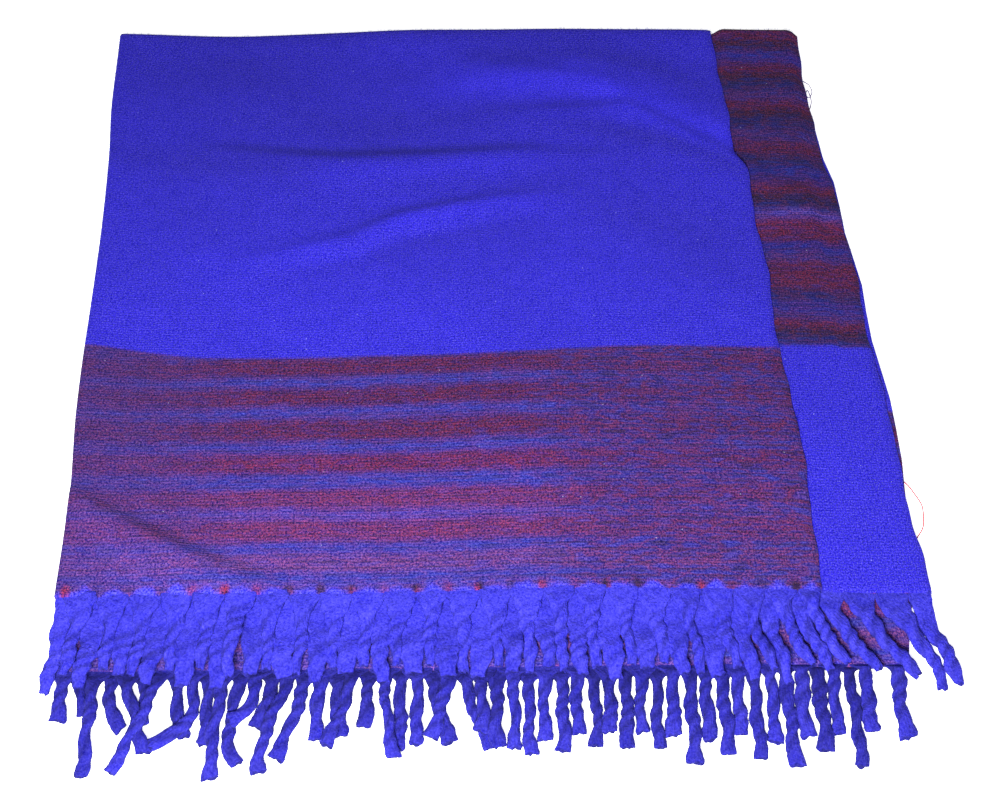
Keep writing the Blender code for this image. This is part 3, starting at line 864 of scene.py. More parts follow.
def rope_surface(strand, rng):
    """One two-ply strand as a closed skin: points, faces, numbers at the points, flat places.

    Its section is two equal circles side by side, in polar form c|cos a| + sqrt(r^2 - c^2 sin^2 a),
    stretched to the strand's width and height, and it turns steadily along the track. At the root
    the section widens and squares into the flat fan in which the warp ends are drawn together. At
    the tip the plies open into a flat tuft, or taper. The bottom follows the height at which the
    strand rests.
    """
    fringe, row, whole_turn = context_fringe(), strand.row, 2 * math.pi
    tip = TAPERED_TIP if row.flare < 0 else CUT_TIP
    loose = float(np.interp(strand.x, column_of(LOOSENESS, "x"), column_of(LOOSENESS, "share")))
    fullness = row.fullness + (1.0 - row.fullness) * loose
    size = fringe.rope_width * rng.uniform(*WIDTH_SPREAD) * fullness
    run = np.linspace(-TONGUE, strand.run[-1], ROPE_RINGS)
    out = np.maximum(run, 0.0)
    track = np.stack([np.interp(run, strand.run, strand.track[:, axis]) for axis in (0, 1)], axis=-1)
    track[:, 1] -= np.minimum(run, 0.0)
    window = np.exp(-((run[:, None] - strand.run[None, :]) / SETTLE_REACH) ** 2)
    bottom = (window * strand.bottom).sum(axis=1) / window.sum(axis=1)
    near_root = np.exp(-((out / SETTLE_REACH) ** 2))
    bottom = bottom + (strand.bottom[0] + PIECE_GAP - bottom) * near_root
    sway = SWAY * np.sin(whole_turn * run / SWAY_LENGTH + rng.uniform(0, whole_turn))
    ahead = unit(np.gradient(track, axis=0))
    right = np.stack([-ahead[:, 1], ahead[:, 0]], axis=-1)
    track = track + (sway * np.clip(run / SWAY_FROM, 0.0, 1.0))[:, None] * right

    fan_reach = row.fan * rng.uniform(*FAN_SPREAD) * (1 - 0.6 * loose)
    fan = np.exp(-((out / fan_reach) ** 2))
    grown = np.clip(1 + run / TONGUE, 0.0, 1.0)
    tuft = np.exp(-(((run[-1] - run) / TIP_REACH) ** 2))
    swell_turn = whole_turn * run / rng.uniform(*SWELL_LENGTHS) + rng.uniform(0, whole_turn)
    size = size * (1 + SWELL * np.sin(swell_turn))
    root_width = strand.root_width * (1 - ROOT_NARROWING + ROOT_NARROWING * grown)
    root_height = context_cloth().thickness * (ROOT_THICKNESS + ROOT_THICKENING * grown)
    width = size + (root_width - size) * fan + size * (fringe.tip_flare - 1) * row.flare * tuft
    height = fringe.rope_height * (1 - tip.thinning * tuft)
    height = height + (root_height - height) * fan

    angle = np.arange(ROPE_SIDES) * whole_turn / ROPE_SIDES
    spin = whole_turn * run / (fringe.twist_length * rng.uniform(*TWIST_SPREAD)) + rng.uniform(0, math.pi)
    wander = rng.uniform(*TWIST_WANDER)
    spin = spin + wander * np.sin(whole_turn * run / WANDER_LENGTH + rng.uniform(0, whole_turn))
    off = angle[None, :] - spin[:, None]
    lobes = PLY_OFFSET * np.abs(np.cos(off)) + np.sqrt(PLY_RADIUS**2 - (PLY_OFFSET * np.sin(off)) ** 2)
    plain = np.clip(fan * ROOT_FLATNESS + tuft * tip.flatness, 0.0, 1.0)[:, None]
    radius = lobes * (1 - plain) + plain * 0.97
    radius = radius + rng.normal(0.0, LUMPS, radius.shape) * (1 - 0.6 * fan[:, None])
    power = 1 - (1 - ROOT_SQUARE) * fan[:, None]
    sideways = radius * np.sign(np.cos(angle)) * np.abs(np.cos(angle)) ** power * width[:, None] / 2
    upwards = radius * np.sign(np.sin(angle)) * np.abs(np.sin(angle)) ** power * height[:, None] / 2
    low = np.maximum(bottom[:, None] + height[:, None] / 2 + upwards, FLOOR_GAP)

    jag = rng.uniform(-1.0, 1.0, ROPE_SIDES)
    jag = (jag + np.roll(jag, 1)) * JAG
    push = tuft[:, None] ** 6 * jag[None, :]
    flat = track[:, None, :] + right[:, None, :] * sideways[..., None] + ahead[:, None, :] * push[..., None]
    skin = np.concatenate([flat, low[..., None]], axis=-1)
    last_ring = skin[-1]
    middle = last_ring.mean(axis=0)
    cap = middle + (last_ring - middle) * CAP_SHARE + np.append(ahead[-1] * CAP_BULGE, 0.0)
    centre = middle + np.append(ahead[-1] * CAP_BULGE / 3, 0.0)
    points = np.concatenate([skin.reshape(-1, 3), cap, [centre], [skin[0].mean(axis=0)]])
    rings = ROPE_RINGS + 1
    last = rings * ROPE_SIDES
    faces = [
        tube_faces(rings, ROPE_SIDES)[:, ::-1],
        fan_faces(last, last - ROPE_SIDES + np.arange(ROPE_SIDES), False),
        fan_faces(last + 1, np.arange(ROPE_SIDES), True),
    ]
    # Painted shade in the grooves between the plies, kept as a number at each point
    groove = np.concatenate([((1 - lobes) * (1 - plain)).ravel(), np.full(ROPE_SIDES + 1, 0.35), [0.0]])
    along = np.concatenate([np.repeat(run, ROPE_SIDES), np.full(ROPE_SIDES + 1, run[-1]), [0.0]])
    around = np.concatenate([np.tile(angle, rings) / (2 * math.pi), [0.5, 0.5]])
    # Painted shade: lower strands darker near their roots, under the upper tips, and upper ones at their
    # roots
    if row in LOWER_ROWS:
        darker = UNDER_PAINTED_SHADE * np.exp(-((np.maximum(along, 0.0) / UNDER_REACH) ** 2))
    else:
        darker = UPPER_TIP_TONE * np.exp(-(((run[-1] - along) / UPPER_TIP_REACH) ** 2))
        darker = darker + UPPER_ROOT_PAINTED_SHADE * np.exp(-((along / UPPER_ROOT_REACH) ** 2))
    tone = row.tone + rng.uniform(-TONE_SPREAD, TONE_SPREAD) - darker
    values = {"groove": groove, "along": along, "tone": tone}
    return points, faces, values, np.stack([around, along], axis=-1)


def join_surfaces(surfaces):
    """Joins closed skins into one set of arrays, with each skin's faces renumbered."""
    shift = 0
    faces = []
    for points, parts, *_ in surfaces:
        faces += [part + shift for part in parts]
        shift += len(points)
    points = np.concatenate([surface[0] for surface in surfaces])
    values = {label: np.concatenate([surface[2][label] for surface in surfaces]) for label in surfaces[0][2]}
    return points, faces, values, np.concatenate([surface[3] for surface in surfaces])


def all_strands():
    """The strands of the lower end, and those of the upper end laid over them."""
    lower = lay_strands(LOWER_ROWS, math.pi, [], 0.0)
    top = LAYER_PITCH + context_cloth().thickness
    return lower, lay_strands(UPPER_ROWS, 0.0, lower, top)


def make_fringe(name, node, strands, seed):
    """One end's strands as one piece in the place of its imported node."""
    rng = np.random.default_rng(seed)
    points, faces, values, flat = join_surfaces([rope_surface(strand, rng) for strand in strands])
    points = points + pile_shift()
    piece = new_piece(name, points, faces, values, flat, fringe_material())
    grow_hairs(name + "_hairs", (points, faces), STRAND_HAIRS, seed)
    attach(piece, "root")
    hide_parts(node)
    return piece


def hairs_on(points, faces, count, rng):
    """Fine wool hairs on the upright parts of a skin: thin curved spikes, each a closed skin.

    A hair starts at a random place of a four-sided face, chosen by its area, and bends from the
    face's outward direction towards a random one. Its three-sided section halves by its middle
    and closes at its tip.
    """
    quads = points[np.concatenate([part for part in faces if part.shape[1] == 4])]
    out = np.cross(quads[:, 2] - quads[:, 0], quads[:, 3] - quads[:, 1])
    area = np.linalg.norm(out, axis=1)
    out = out / np.maximum(area, 1e-12)[:, None]
    weight = area * (np.abs(out[:, 2]) < HAIR_LEVEL) * (quads[:, :, 2].min(axis=1) > HAIR_LOWEST)
    chosen = rng.choice(len(quads), count, p=weight / weight.sum())
    u, v = rng.uniform(0.0, 1.0, (2, count, 1))
    corners, out = quads[chosen], out[chosen]
    near_side = corners[:, 0] * (1 - u) + corners[:, 1] * u
    far_side = corners[:, 3] * (1 - u) + corners[:, 2] * u
    root = near_side * (1 - v) + far_side * v
    astray = unit(rng.normal(0.0, 1.0, (count, 3)))
    length = HAIR_LENGTH * rng.uniform(0.4, 1.0, (count, 1)) ** 2
    middle = root + 0.5 * length * unit(out + 0.5 * astray)
    tip = middle + 0.5 * length * unit(out + 1.3 * astray)
    low = HAIR_RADIUS * 1.5
    middle[:, 2] = np.maximum(middle[:, 2], low)
    tip[:, 2] = np.maximum(tip[:, 2], low)
    ahead = unit(middle - root)
    right = unit(np.cross(ahead, unit(rng.normal(0.0, 1.0, (count, 3)))))
    up = np.cross(right, ahead)
    angle = np.arange(3) * 2 * math.pi / 3
    ring = right[:, None] * np.cos(angle)[None, :, None] + up[:, None] * np.sin(angle)[None, :, None]
    start = root - HAIR_DEPTH * out
    thick, thin = start[:, None] + HAIR_RADIUS * ring, middle[:, None] + HAIR_RADIUS / 2 * ring
    skin = np.concatenate([thick, thin, tip[:, None]], axis=1)
    first = 7 * np.arange(count)[:, None]
    side = np.array([[0, 1, 4, 3], [1, 2, 5, 4], [2, 0, 3, 5]])
    ends = np.array([[3, 4, 6], [4, 5, 6], [5, 3, 6], [0, 2, 1]])
    flat = np.tile(np.array([[0.0, 0.0]] * 3 + [[0.0, 0.5]] * 3 + [[0.0, 1.0]]), (count, 1))
    faces = [(first[:, :, None] + part[None]).reshape(-1, part.shape[1]) for part in (side, ends)]
    return skin.reshape(-1, 3), faces, {}, flat


def grow_hairs(name, surface, count, seed):
    """The hairs of one piece as a piece of their own, in the pile's own metres like its surface."""
    points, faces = surface
    piece = new_piece(name, *hairs_on(points, faces, count, np.random.default_rng(seed)), hair_material())
    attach(piece, "root")
    return piece


def thread_surface(thread):
    """A loose thread as a thin tube along a smooth curve through its places, falling to the floor."""
    places = np.array(thread.places)
    steps = np.linalg.norm(np.diff(places, axis=0), axis=1)
    marks = np.concatenate([[0.0], np.cumsum(steps)])
    table = [Place(at, x, y) for at, (x, y) in zip(marks, places)]
    run = np.linspace(0.0, marks[-1], THREAD_STEPS)
    x, y = read_curve(table, "at", "x", run), read_curve(table, "at", "y", run)
    z = thread.radius + thread.rise * np.exp(-((run / thread.fall) ** 2))
    line = np.stack([x, y, z], axis=-1)
    ahead = unit(np.gradient(line, axis=0))
    right = unit(np.cross(ahead, np.array([0.0, 0.0, 1.0])))
    up = np.cross(right, ahead)
    angle = np.arange(THREAD_SIDES) * 2 * math.pi / THREAD_SIDES
    ring = right[:, None] * np.cos(angle)[None, :, None] + up[:, None] * np.sin(angle)[None, :, None]
    skin = line[:, None] + thread.radius * ring
    points = np.concatenate([skin.reshape(-1, 3), line[-1:], line[:1]])
    last = THREAD_STEPS * THREAD_SIDES
    faces = [
        tube_faces(THREAD_STEPS, THREAD_SIDES),
        fan_faces(last, last - THREAD_SIDES + np.arange(THREAD_SIDES), True),
        fan_faces(last + 1, np.arange(THREAD_SIDES), False),
    ]
    around, along = np.tile(angle, THREAD_STEPS), np.repeat(run, THREAD_SIDES)
    return points, faces, {}, np.stack([np.append(around, [0, 0]), np.append(along, [0, 0])], axis=-1)


# Materials


class Wiring:
    """Short words for adding and linking the nodes of one tree."""

    def __init__(self, tree):
        self.tree = tree

    def add(self, kind, **settings):
        """A new node with its settings."""
        node = self.tree.nodes.new(kind)
        for name, value in settings.items():
            setattr(node, name, value)
        return node

    def feed(self, socket, value):
        """Links a socket, or sets the number or colour on it."""
        if isinstance(value, bpy.types.NodeSocket):
            self.tree.links.new(value, socket)
        else:
            socket.default_value = value

    def math(self, operation, *values):
        """One step of arithmetic on numbers or sockets."""
        node = self.add("ShaderNodeMath", operation=operation)
        for socket, value in zip(node.inputs, values):
            self.feed(socket, value)
        return node.outputs["Value"]

    def mix(self, share, first, second, blend="MIX"):
        """The first colour, turned to the second by a share."""
        node = self.add("ShaderNodeMix", data_type="RGBA", blend_type=blend)
        self.feed(node.inputs["Factor"], share)
        self.feed(node.inputs[6], first)
        self.feed(node.inputs[7], second)
        return node.outputs[2]

    def remap(self, value, low, high, to_low=0.0, to_high=1.0):
        """A number carried in a straight line from one range to another, and held at its ends."""
        node = self.add("ShaderNodeMapRange")
        names = ("Value", "From Min", "From Max", "To Min", "To Max")
        for name, amount in zip(names, (value, low, high, to_low, to_high)):
            self.feed(node.inputs[name], amount)
        return node.outputs["Result"]

    def shade(self, colour, amount):
        """Multiplies a colour by one number."""
        return self.mix(1.0, colour, self.place(amount, amount, amount), "MULTIPLY")

    def grey_grain(self, colour, amount):
        """Multiplies a colour by a number near 1, its red and green more than its blue."""
        more = self.math("MULTIPLY", self.math("SUBTRACT", amount, 1.0), RED_GREEN_GRAIN)
        strong = self.math("MAXIMUM", self.math("ADD", 1.0, more), 0.1)
        return self.mix(1.0, colour, self.place(strong, strong, amount), "MULTIPLY")

    def noise(self, place, scale, detail=2.0, roughness=0.5):
        """Soft noise between 0 and 1, with scale waves a metre."""
        node = self.add("ShaderNodeTexNoise", noise_dimensions="3D")
        names = ("Vector", "Scale", "Detail", "Roughness")
        for name, value in zip(names, (place, scale, detail, roughness)):
            self.feed(node.inputs[name], value)
        return node.outputs["Fac"]

    def place(self, x, y, z=0.0):
        """A vector from three numbers."""
        node = self.add("ShaderNodeCombineXYZ")
        for socket, value in zip(node.inputs, (x, y, z)):
            self.feed(socket, value)
        return node.outputs["Vector"]

    def attribute(self, name):
        """A number stored at the piece's points."""
        return self.add("ShaderNodeAttribute", attribute_name=name).outputs["Fac"]

    def group(self, name, **values):
        """A shared shader group with its inputs fed."""
        node = self.add("ShaderNodeGroup", node_tree=bpy.data.node_groups[name])
        for label, value in values.items():
            self.feed(node.inputs[label], value)
        return node.outputs


def new_group(name, inputs, outputs):
    """An empty shader group with named sockets: returns its wiring, its inputs and its outputs."""
    tree = bpy.data.node_groups.new(name, "ShaderNodeTree")
    for label, kind, default in inputs:
        socket = tree.interface.new_socket(label, in_out="INPUT", socket_type=kind)
        if default is not None:
            socket.default_value = default
    for label, kind in outputs:
        tree.interface.new_socket(label, in_out="OUTPUT", socket_type=kind)
    start = tree.nodes.new("NodeGroupInput")
    stop = tree.nodes.new("NodeGroupOutput")
    return Wiring(tree), start.outputs, stop.inputs


def make_nap_group():
    """Brushed nap: fine fibres over soft blotches, as a shade around 1 and a height, and rare flecks.

    The shade is 1 + Grain (fine - 1/2) + Blotch (soft - 1/2) and the height is fine + soft / 2, of
    a fine and a soft noise. A fleck is the middle of a cell whose random red lies above 0.9.
    """
    wiring, given, result = new_group(
        "brushed_nap",
        (
            ("Place", "NodeSocketVector", None),
            ("Fibre", "NodeSocketFloat", 700.0),
            ("Grain", "NodeSocketFloat", 0.5),
            ("Blotch", "NodeSocketFloat", 0.2),
        ),
        (("Shade", "NodeSocketFloat"), ("Height", "NodeSocketFloat"), ("Fleck", "NodeSocketFloat")),
    )
    fine = wiring.noise(given["Place"], given["Fibre"], 3.0, 0.75)
    soft = wiring.noise(given["Place"], 75.0, 2.0, 0.55)
    grain = wiring.math("MULTIPLY", wiring.math("SUBTRACT", fine, 0.5), given["Grain"])
    blotch = wiring.math("MULTIPLY", wiring.math("SUBTRACT", soft, 0.5), given["Blotch"])
    both = wiring.math("ADD", grain, blotch)
    wiring.feed(result["Shade"], wiring.math("ADD", both, 1.0))
    wiring.feed(result["Height"], wiring.math("ADD", fine, wiring.math("MULTIPLY", soft, 0.5)))
    cells = wiring.add("ShaderNodeTexVoronoi", feature="F1")
    wiring.feed(cells.inputs["Vector"], given["Place"])
    wiring.feed(cells.inputs["Scale"], 150.0)
    parts = wiring.add("ShaderNodeSeparateColor")
    wiring.feed(parts.inputs["Color"], cells.outputs["Color"])
    near = wiring.remap(cells.outputs["Distance"], 0.085, 0.045)
    chosen = wiring.math("GREATER_THAN", parts.outputs["Red"], 0.90)
    wiring.feed(result["Fleck"], wiring.math("MULTIPLY", near, chosen))


def stripe_ramp(wiring, share, stripes):
    """A colour ramp with soft stops in each stripe: one in its middle, or two where it is broad."""
    ramp = wiring.add("ShaderNodeValToRGB")
    ramp.color_ramp.interpolation = "EASE"
    total = sum(stripe.width for stripe in stripes)
    stops = ramp.color_ramp.elements
    roomy = len(stripes) <= MOST_STOPS / 2
    wanted = []
    done = 0.0
    for stripe in stripes:
        for part in (0.28, 0.72) if roomy and stripe.width > BROAD else (0.5,):
            wanted.append(((done + stripe.width * part) / total, stripe.dye))
        done += stripe.width
    for number, (place, dye) in enumerate(wanted):
        stop = stops[number] if number < 2 else stops.new(place)
        stop.position = place
        stop.color = (*getattr(context_dyes(), dye), 1.0)
    wiring.feed(ramp.inputs["Fac"], share)
    return ramp.outputs["Color"]


def make_stripe_group():
    """Space-dyed weft: broad stripes of the band and of the back, broken up pick by pick.

    The stripes are ramps over the distance from the end, which a soft noise drifts. The single
    dashes are a ramp over a noise drawn out along the weft, and a sine over the distance darkens
    whole rows where another noise lets it.
    """
    wiring, given, result = new_group(
        "space_dyed_weft",
        (
            ("Across", "NodeSocketFloat", 0.0),
            ("From End", "NodeSocketFloat", 0.0),
            ("Stripes", "NodeSocketFloat", 1.0),
            ("Dashes", "NodeSocketFloat", 0.4),
            ("Pick", "NodeSocketFloat", 0.0024),
        ),
        (("Band", "NodeSocketColor"), ("Back", "NodeSocketColor")),
    )
    stretched = wiring.math("MULTIPLY", given["From End"], 2.0)
    drift = wiring.noise(wiring.place(given["Across"], stretched), 9.0, 2.0)
    shift = wiring.math("MULTIPLY", wiring.math("SUBTRACT", drift, 0.5), STRIPE_DRIFT)
    from_end = wiring.math("ADD", given["From End"], shift)
    band = stripe_ramp(wiring, wiring.math("DIVIDE", from_end, BAND_LENGTH), BAND_STRIPES)
    past_band = wiring.math("SUBTRACT", from_end, BAND_LENGTH)
    back = stripe_ramp(wiring, wiring.math("DIVIDE", past_band, BACK_LENGTH), BACK_STRIPES)
    pick = wiring.math("DIVIDE", given["From End"], given["Pick"])
    dash_across = wiring.math("MULTIPLY", given["Across"], DASHES_A_METRE)
    dash_place = wiring.place(dash_across, wiring.math("MULTIPLY", pick, DASHES_A_PICK))
    dash = wiring.noise(dash_place, 1.0, 1.4)
    patch_along = wiring.math("MULTIPLY", given["From End"], 2.5)
    patch = wiring.noise(wiring.place(given["Across"], patch_along, 0.7), 55.0, 2.0)
    yarn = wiring.math("ADD", wiring.math("MULTIPLY", dash, 0.6), wiring.math("MULTIPLY", patch, 0.4))
    ramp = wiring.add("ShaderNodeValToRGB")
    stops = ramp.color_ramp.elements
    for number, (place, dye) in enumerate(YARN_TURNS):
        stop = stops[number] if number < 2 else stops.new(place)
        stop.position = place
        stop.color = (*getattr(context_dyes(), dye), 1.0)
    wiring.feed(ramp.inputs["Fac"], yarn)
    line_turn = wiring.math("MULTIPLY", given["From End"], 2 * math.pi / DARK_LINE_SPACING)
    line_turn = wiring.math("ADD", line_turn, wiring.math("MULTIPLY", drift, 5.0))
    line = wiring.remap(wiring.math("SINE", line_turn), -0.2, 1.0)
    row_strength = wiring.math("ADD", 0.26, wiring.math("MULTIPLY", given["Dashes"], 0.60))
    broken = wiring.remap(wiring.noise(dash_place, 0.9, 2.0), 0.40, 0.58)
    dark = wiring.math("MULTIPLY", wiring.math("MULTIPLY", line, broken), row_strength)
    umber = (*context_dyes().umber, 1.0)
    mixed = (*context_dyes().mixed, 1.0)
    for label, stripes in (("Band", band), ("Back", back)):
        broad = wiring.mix(given["Stripes"], mixed, stripes)
        dashed = wiring.mix(given["Dashes"], broad, ramp.outputs["Color"])
        wiring.feed(result[label], wiring.mix(dark, dashed, umber))


def make_weave_group():
    """Plain weave seen through the nap: sines over the picks and the warp ends, swayed by a noise."""
    wiring, given, result = new_group(
        "woven_rows",
        (
            ("Across", "NodeSocketFloat", 0.0),
            ("Along", "NodeSocketFloat", 0.0),
            ("Pick", "NodeSocketFloat", 0.0024),
            ("Warp", "NodeSocketFloat", 0.0018),
        ),
        (("Height", "NodeSocketFloat"), ("Row", "NodeSocketFloat"), ("Rib", "NodeSocketFloat")),
    )
    wander = wiring.noise(wiring.place(given["Across"], given["Along"]), 160.0, 1.0)
    sway = wiring.math("MULTIPLY", wiring.math("SUBTRACT", wander, 0.5), 1.6)
    row_turn = wiring.math("MULTIPLY", wiring.math("DIVIDE", given["Along"], given["Pick"]), 2 * math.pi)
    rib_turn = wiring.math("MULTIPLY", wiring.math("DIVIDE", given["Across"], given["Warp"]), 2 * math.pi)
    row = wiring.math("SINE", wiring.math("ADD", row_turn, sway))
    rib = wiring.math("SINE", wiring.math("ADD", rib_turn, sway))
    wiring.feed(result["Height"], wiring.math("ADD", row, rib))
    wiring.feed(result["Row"], row)
    wiring.feed(result["Rib"], rib)


def ensure_groups():
    """Builds the shared shader groups once."""
    groups = {
        "brushed_nap": make_nap_group,
        "space_dyed_weft": make_stripe_group,
        "woven_rows": make_weave_group,
    }
    for name, make in groups.items():
        if name not in bpy.data.node_groups:
            make()


def new_material(name, roughness, sheen):
    """A wool material: its wiring and its Principled shader, with the plain numbers set on it."""
    material = bpy.data.materials.new(name)
    material.use_nodes = True
    shader = material.node_tree.nodes["Principled BSDF"]
    shader.inputs["Roughness"].default_value = roughness
    shader.inputs["Specular IOR Level"].default_value = 0.08
    shader.inputs["Sheen Weight"].default_value = sheen
    shader.inputs["Sheen Roughness"].default_value = 0.55
    shader.inputs["Sheen Tint"].default_value = (0.55, 0.55, 1.0, 1.0)
    return material, Wiring(material.node_tree), shader


def bump(wiring, height, strength, distance):
    """A normal tilted by the slope of a height."""
    node = wiring.add("ShaderNodeBump")
    wiring.feed(node.inputs["Height"], height)
    node.inputs["Strength"].default_value = strength
    node.inputs["Distance"].default_value = distance
    return node.outputs["Normal"]


def blanket_material():
    """Double-faced brushed wool: plain field and striped band in front, the reverse behind."""
    ensure_groups()
    cloth, dyes = context_cloth(), context_dyes()
    material, wiring, shader = new_material("brushed_wool", 0.95, 0.03)
    flat = wiring.add("ShaderNodeUVMap", uv_map="Laid_flat").outputs["UV"]
    parts = wiring.add("ShaderNodeSeparateXYZ")
    wiring.feed(parts.inputs["Vector"], flat)
    across_flat, along_flat = parts.outputs["X"], parts.outputs["Y"]
    other_end = wiring.math("SUBTRACT", FLAT_LENGTH, along_flat)
    from_end = wiring.math("MINIMUM", along_flat, other_end)

    weft = wiring.group("space_dyed_weft", **{
        "Across": across_flat, "From End": from_end, "Pick": cloth.pick_spacing,
        "Stripes": wiring.attribute("clear_stripes"), "Dashes": wiring.attribute("clear_dashes"),
    })
    rows = wiring.group("woven_rows", **{
        "Across": across_flat, "Along": from_end, "Pick": cloth.pick_spacing, "Warp": cloth.warp_spacing,
    })
    mottle = wiring.noise(flat, 900.0, 2.0, 0.7)

    edge_fuzz = wiring.math("MULTIPLY", wiring.math("SUBTRACT", mottle, 0.5), 0.008)
    edge = wiring.math("ADD", wiring.attribute("band_edge"), edge_fuzz)
    in_band = wiring.remap(wiring.math("SUBTRACT", from_end, edge), 0.0012, -0.0012)
    behind = wiring.math("GREATER_THAN", wiring.attribute("back_side"), 0.85)
    striped = wiring.math("ABSOLUTE", wiring.math("SUBTRACT", in_band, behind))
    weft_colour = wiring.mix(behind, weft["Band"], weft["Back"])

    most_blue = wiring.math("SUBTRACT", 0.34, wiring.math("MULTIPLY", behind, 0.14))
    blue_fibres = wiring.math("MULTIPLY", wiring.remap(mottle, 0.45, 0.70, 0.05, 1.0), most_blue)
    weft_colour = wiring.mix(blue_fibres, weft_colour, (*dyes.warp, 1.0))
    # Painted shade of the weave, besides its bump: rows and ribs lighter on their crests, darker between
    woven = wiring.math("ADD", rows["Row"], wiring.math("MULTIPLY", rows["Rib"], 0.25))
    weft_colour = wiring.shade(weft_colour, wiring.math("ADD", 1.0, wiring.math("MULTIPLY", woven, 0.12)))
    field = wiring.shade((*dyes.field, 1.0), wiring.math("ADD", 1.0, wiring.math("MULTIPLY", woven, 0.04)))
    colour = wiring.mix(striped, field, weft_colour)

    strand_turn = wiring.attribute("strand_turn")
    uneven = wiring.noise(flat, 70.0, 1.0)
    reach = wiring.math("MULTIPLY", wiring.math("SUBTRACT", uneven, 0.35), 0.014)
    reach = wiring.math("ADD", reach, wiring.math("MULTIPLY", strand_turn, 0.0030))
    root_line = wiring.math("ADD", reach, edge_fuzz)
    rooted = wiring.remap(wiring.math("SUBTRACT", from_end, root_line), 0.0025, -0.0025)
    in_front = wiring.math("SUBTRACT", 1.0, behind)
    rooted = wiring.math("MULTIPLY", rooted, wiring.math("ADD", 0.2, wiring.math("MULTIPLY", in_front, 0.8)))
    colour = wiring.mix(rooted, colour, (*dyes.fringe, 1.0))
    between = wiring.math("MULTIPLY", wiring.remap(strand_turn, -0.35, -0.95), in_front)
    spot_edge = wiring.math("ADD", from_end, wiring.math("MULTIPLY", edge_fuzz, 1.5))
    spot = wiring.math("MULTIPLY", between, wiring.remap(spot_edge, 0.0095, 0.0045))
    spot_kind = wiring.noise(flat, 38.0, 1.0)
    spot = wiring.math("MULTIPLY", spot, wiring.remap(wiring.noise(flat, 29.0, 0.0), 0.38, 0.60, 0.25, 0.95))
    spot_colour = wiring.mix(wiring.remap(spot_kind, 0.45, 0.55), (*dyes.umber, 1.0), (*dyes.crimson, 1.0))
    colour = wiring.mix(spot, colour, spot_colour)

    grain = wiring.math("ADD", FIELD_GRAIN, wiring.math("MULTIPLY", striped, WEFT_GRAIN - FIELD_GRAIN))
    nap = wiring.group("brushed_nap", Place=flat, Fibre=620.0, Grain=grain, Blotch=0.30)
    # Painted light and shade: the top layer's swaths lighten or darken the colour
    colour = wiring.shade(colour, wiring.math("ADD", 1.0, wiring.attribute("nap_mark")))
    colour = wiring.grey_grain(colour, nap["Shade"])
    most_lint = wiring.math("SUBTRACT", 0.15, wiring.math("MULTIPLY", striped, 0.10))
    lint = wiring.math("MULTIPLY", wiring.remap(wiring.noise(flat, 1000.0, 1.5, 0.6), 0.50, 0.74), most_lint)
    colour = wiring.mix(lint, colour, (0.55, 0.50, 0.80, 1.0))
    colour = wiring.mix(wiring.math("MULTIPLY", nap["Fleck"], 0.30), colour, (0.7, 0.7, 0.9, 1.0))
    wiring.feed(shader.inputs["Base Color"], colour)
    height = wiring.math("ADD", nap["Height"], wiring.math("MULTIPLY", rows["Height"], 0.12))
    wiring.feed(shader.inputs["Normal"], bump(wiring, height, 0.55, 0.0012))
    return material


def fringe_material():
    """Two-ply twisted wool: bright blue, with painted shade in the grooves, on the lower rows and near the
    roots, streaked along its fibres.
    """
    ensure_groups()
    if "twisted_wool" in bpy.data.materials:
        return bpy.data.materials["twisted_wool"]
    dyes = context_dyes()
    material, wiring, shader = new_material("twisted_wool", 0.95, 0.03)
    body = wiring.add("ShaderNodeTexCoord").outputs["Object"]
    nap = wiring.group("brushed_nap", Place=body, Fibre=560.0, Grain=1.3, Blotch=0.35)
    flat = wiring.add("ShaderNodeUVMap", uv_map="Laid_flat").outputs["UV"]
    parts = wiring.add("ShaderNodeSeparateXYZ")
    wiring.feed(parts.inputs["Vector"], flat)
    around = wiring.math("MULTIPLY", parts.outputs["X"], 26.0)
    fibre_place = wiring.place(around, wiring.math("MULTIPLY", parts.outputs["Y"], 120.0))
    fibres = wiring.noise(fibre_place, 1.0, 2.0)
    streak = wiring.remap(fibres, 0.30, 0.70, 0.84, 1.14)
    # Painted shade: darker in the grooves between the plies
    groove = wiring.remap(wiring.attribute("groove"), 0.02, 0.26, 1.06, 0.62)
    # The tone holds painted shade: the lower rows darker, and the strands darker near their roots
    tone = wiring.math("ADD", 1.0, wiring.attribute("tone"))
    shade = wiring.math("MULTIPLY", wiring.math("MULTIPLY", groove, streak), tone)
    colour = wiring.shade((*dyes.fringe, 1.0), shade)
    colour = wiring.grey_grain(colour, nap["Shade"])
    wiring.feed(shader.inputs["Base Color"], colour)
    height = wiring.math("ADD", nap["Height"], wiring.math("MULTIPLY", fibres, 0.8))
    wiring.feed(shader.inputs["Normal"], bump(wiring, height, 0.9, 0.0016))
    return material


def hair_material():
    """Single wool fibres: the fringe's blue, a little uneven."""
    ensure_groups()
    if "single_wool_hairs" in bpy.data.materials:
        return bpy.data.materials["single_wool_hairs"]
    material, wiring, shader = new_material("single_wool_hairs", 0.95, 0.03)
    body = wiring.add("ShaderNodeTexCoord").outputs["Object"]
    shade = wiring.remap(wiring.noise(body, 300.0, 1.0), 0.35, 0.65, 0.55, 1.10)
    wiring.feed(shader.inputs["Base Color"], wiring.shade((*context_dyes().fringe, 1.0), shade))
    return material


def thread_material(dye):
    """Fine worsted thread, a little uneven in its dye."""
    ensure_groups()
    material, wiring, shader = new_material(dye + "_thread", 0.8, 0.02)
    body = wiring.add("ShaderNodeTexCoord").outputs["Object"]
    nap = wiring.group("brushed_nap", Place=body, Fibre=900.0, Grain=0.5, Blotch=0.3)
    colour = wiring.shade((*getattr(context_dyes(), dye), 1.0), nap["Shade"])
    wiring.feed(shader.inputs["Base Color"], colour)
    return material


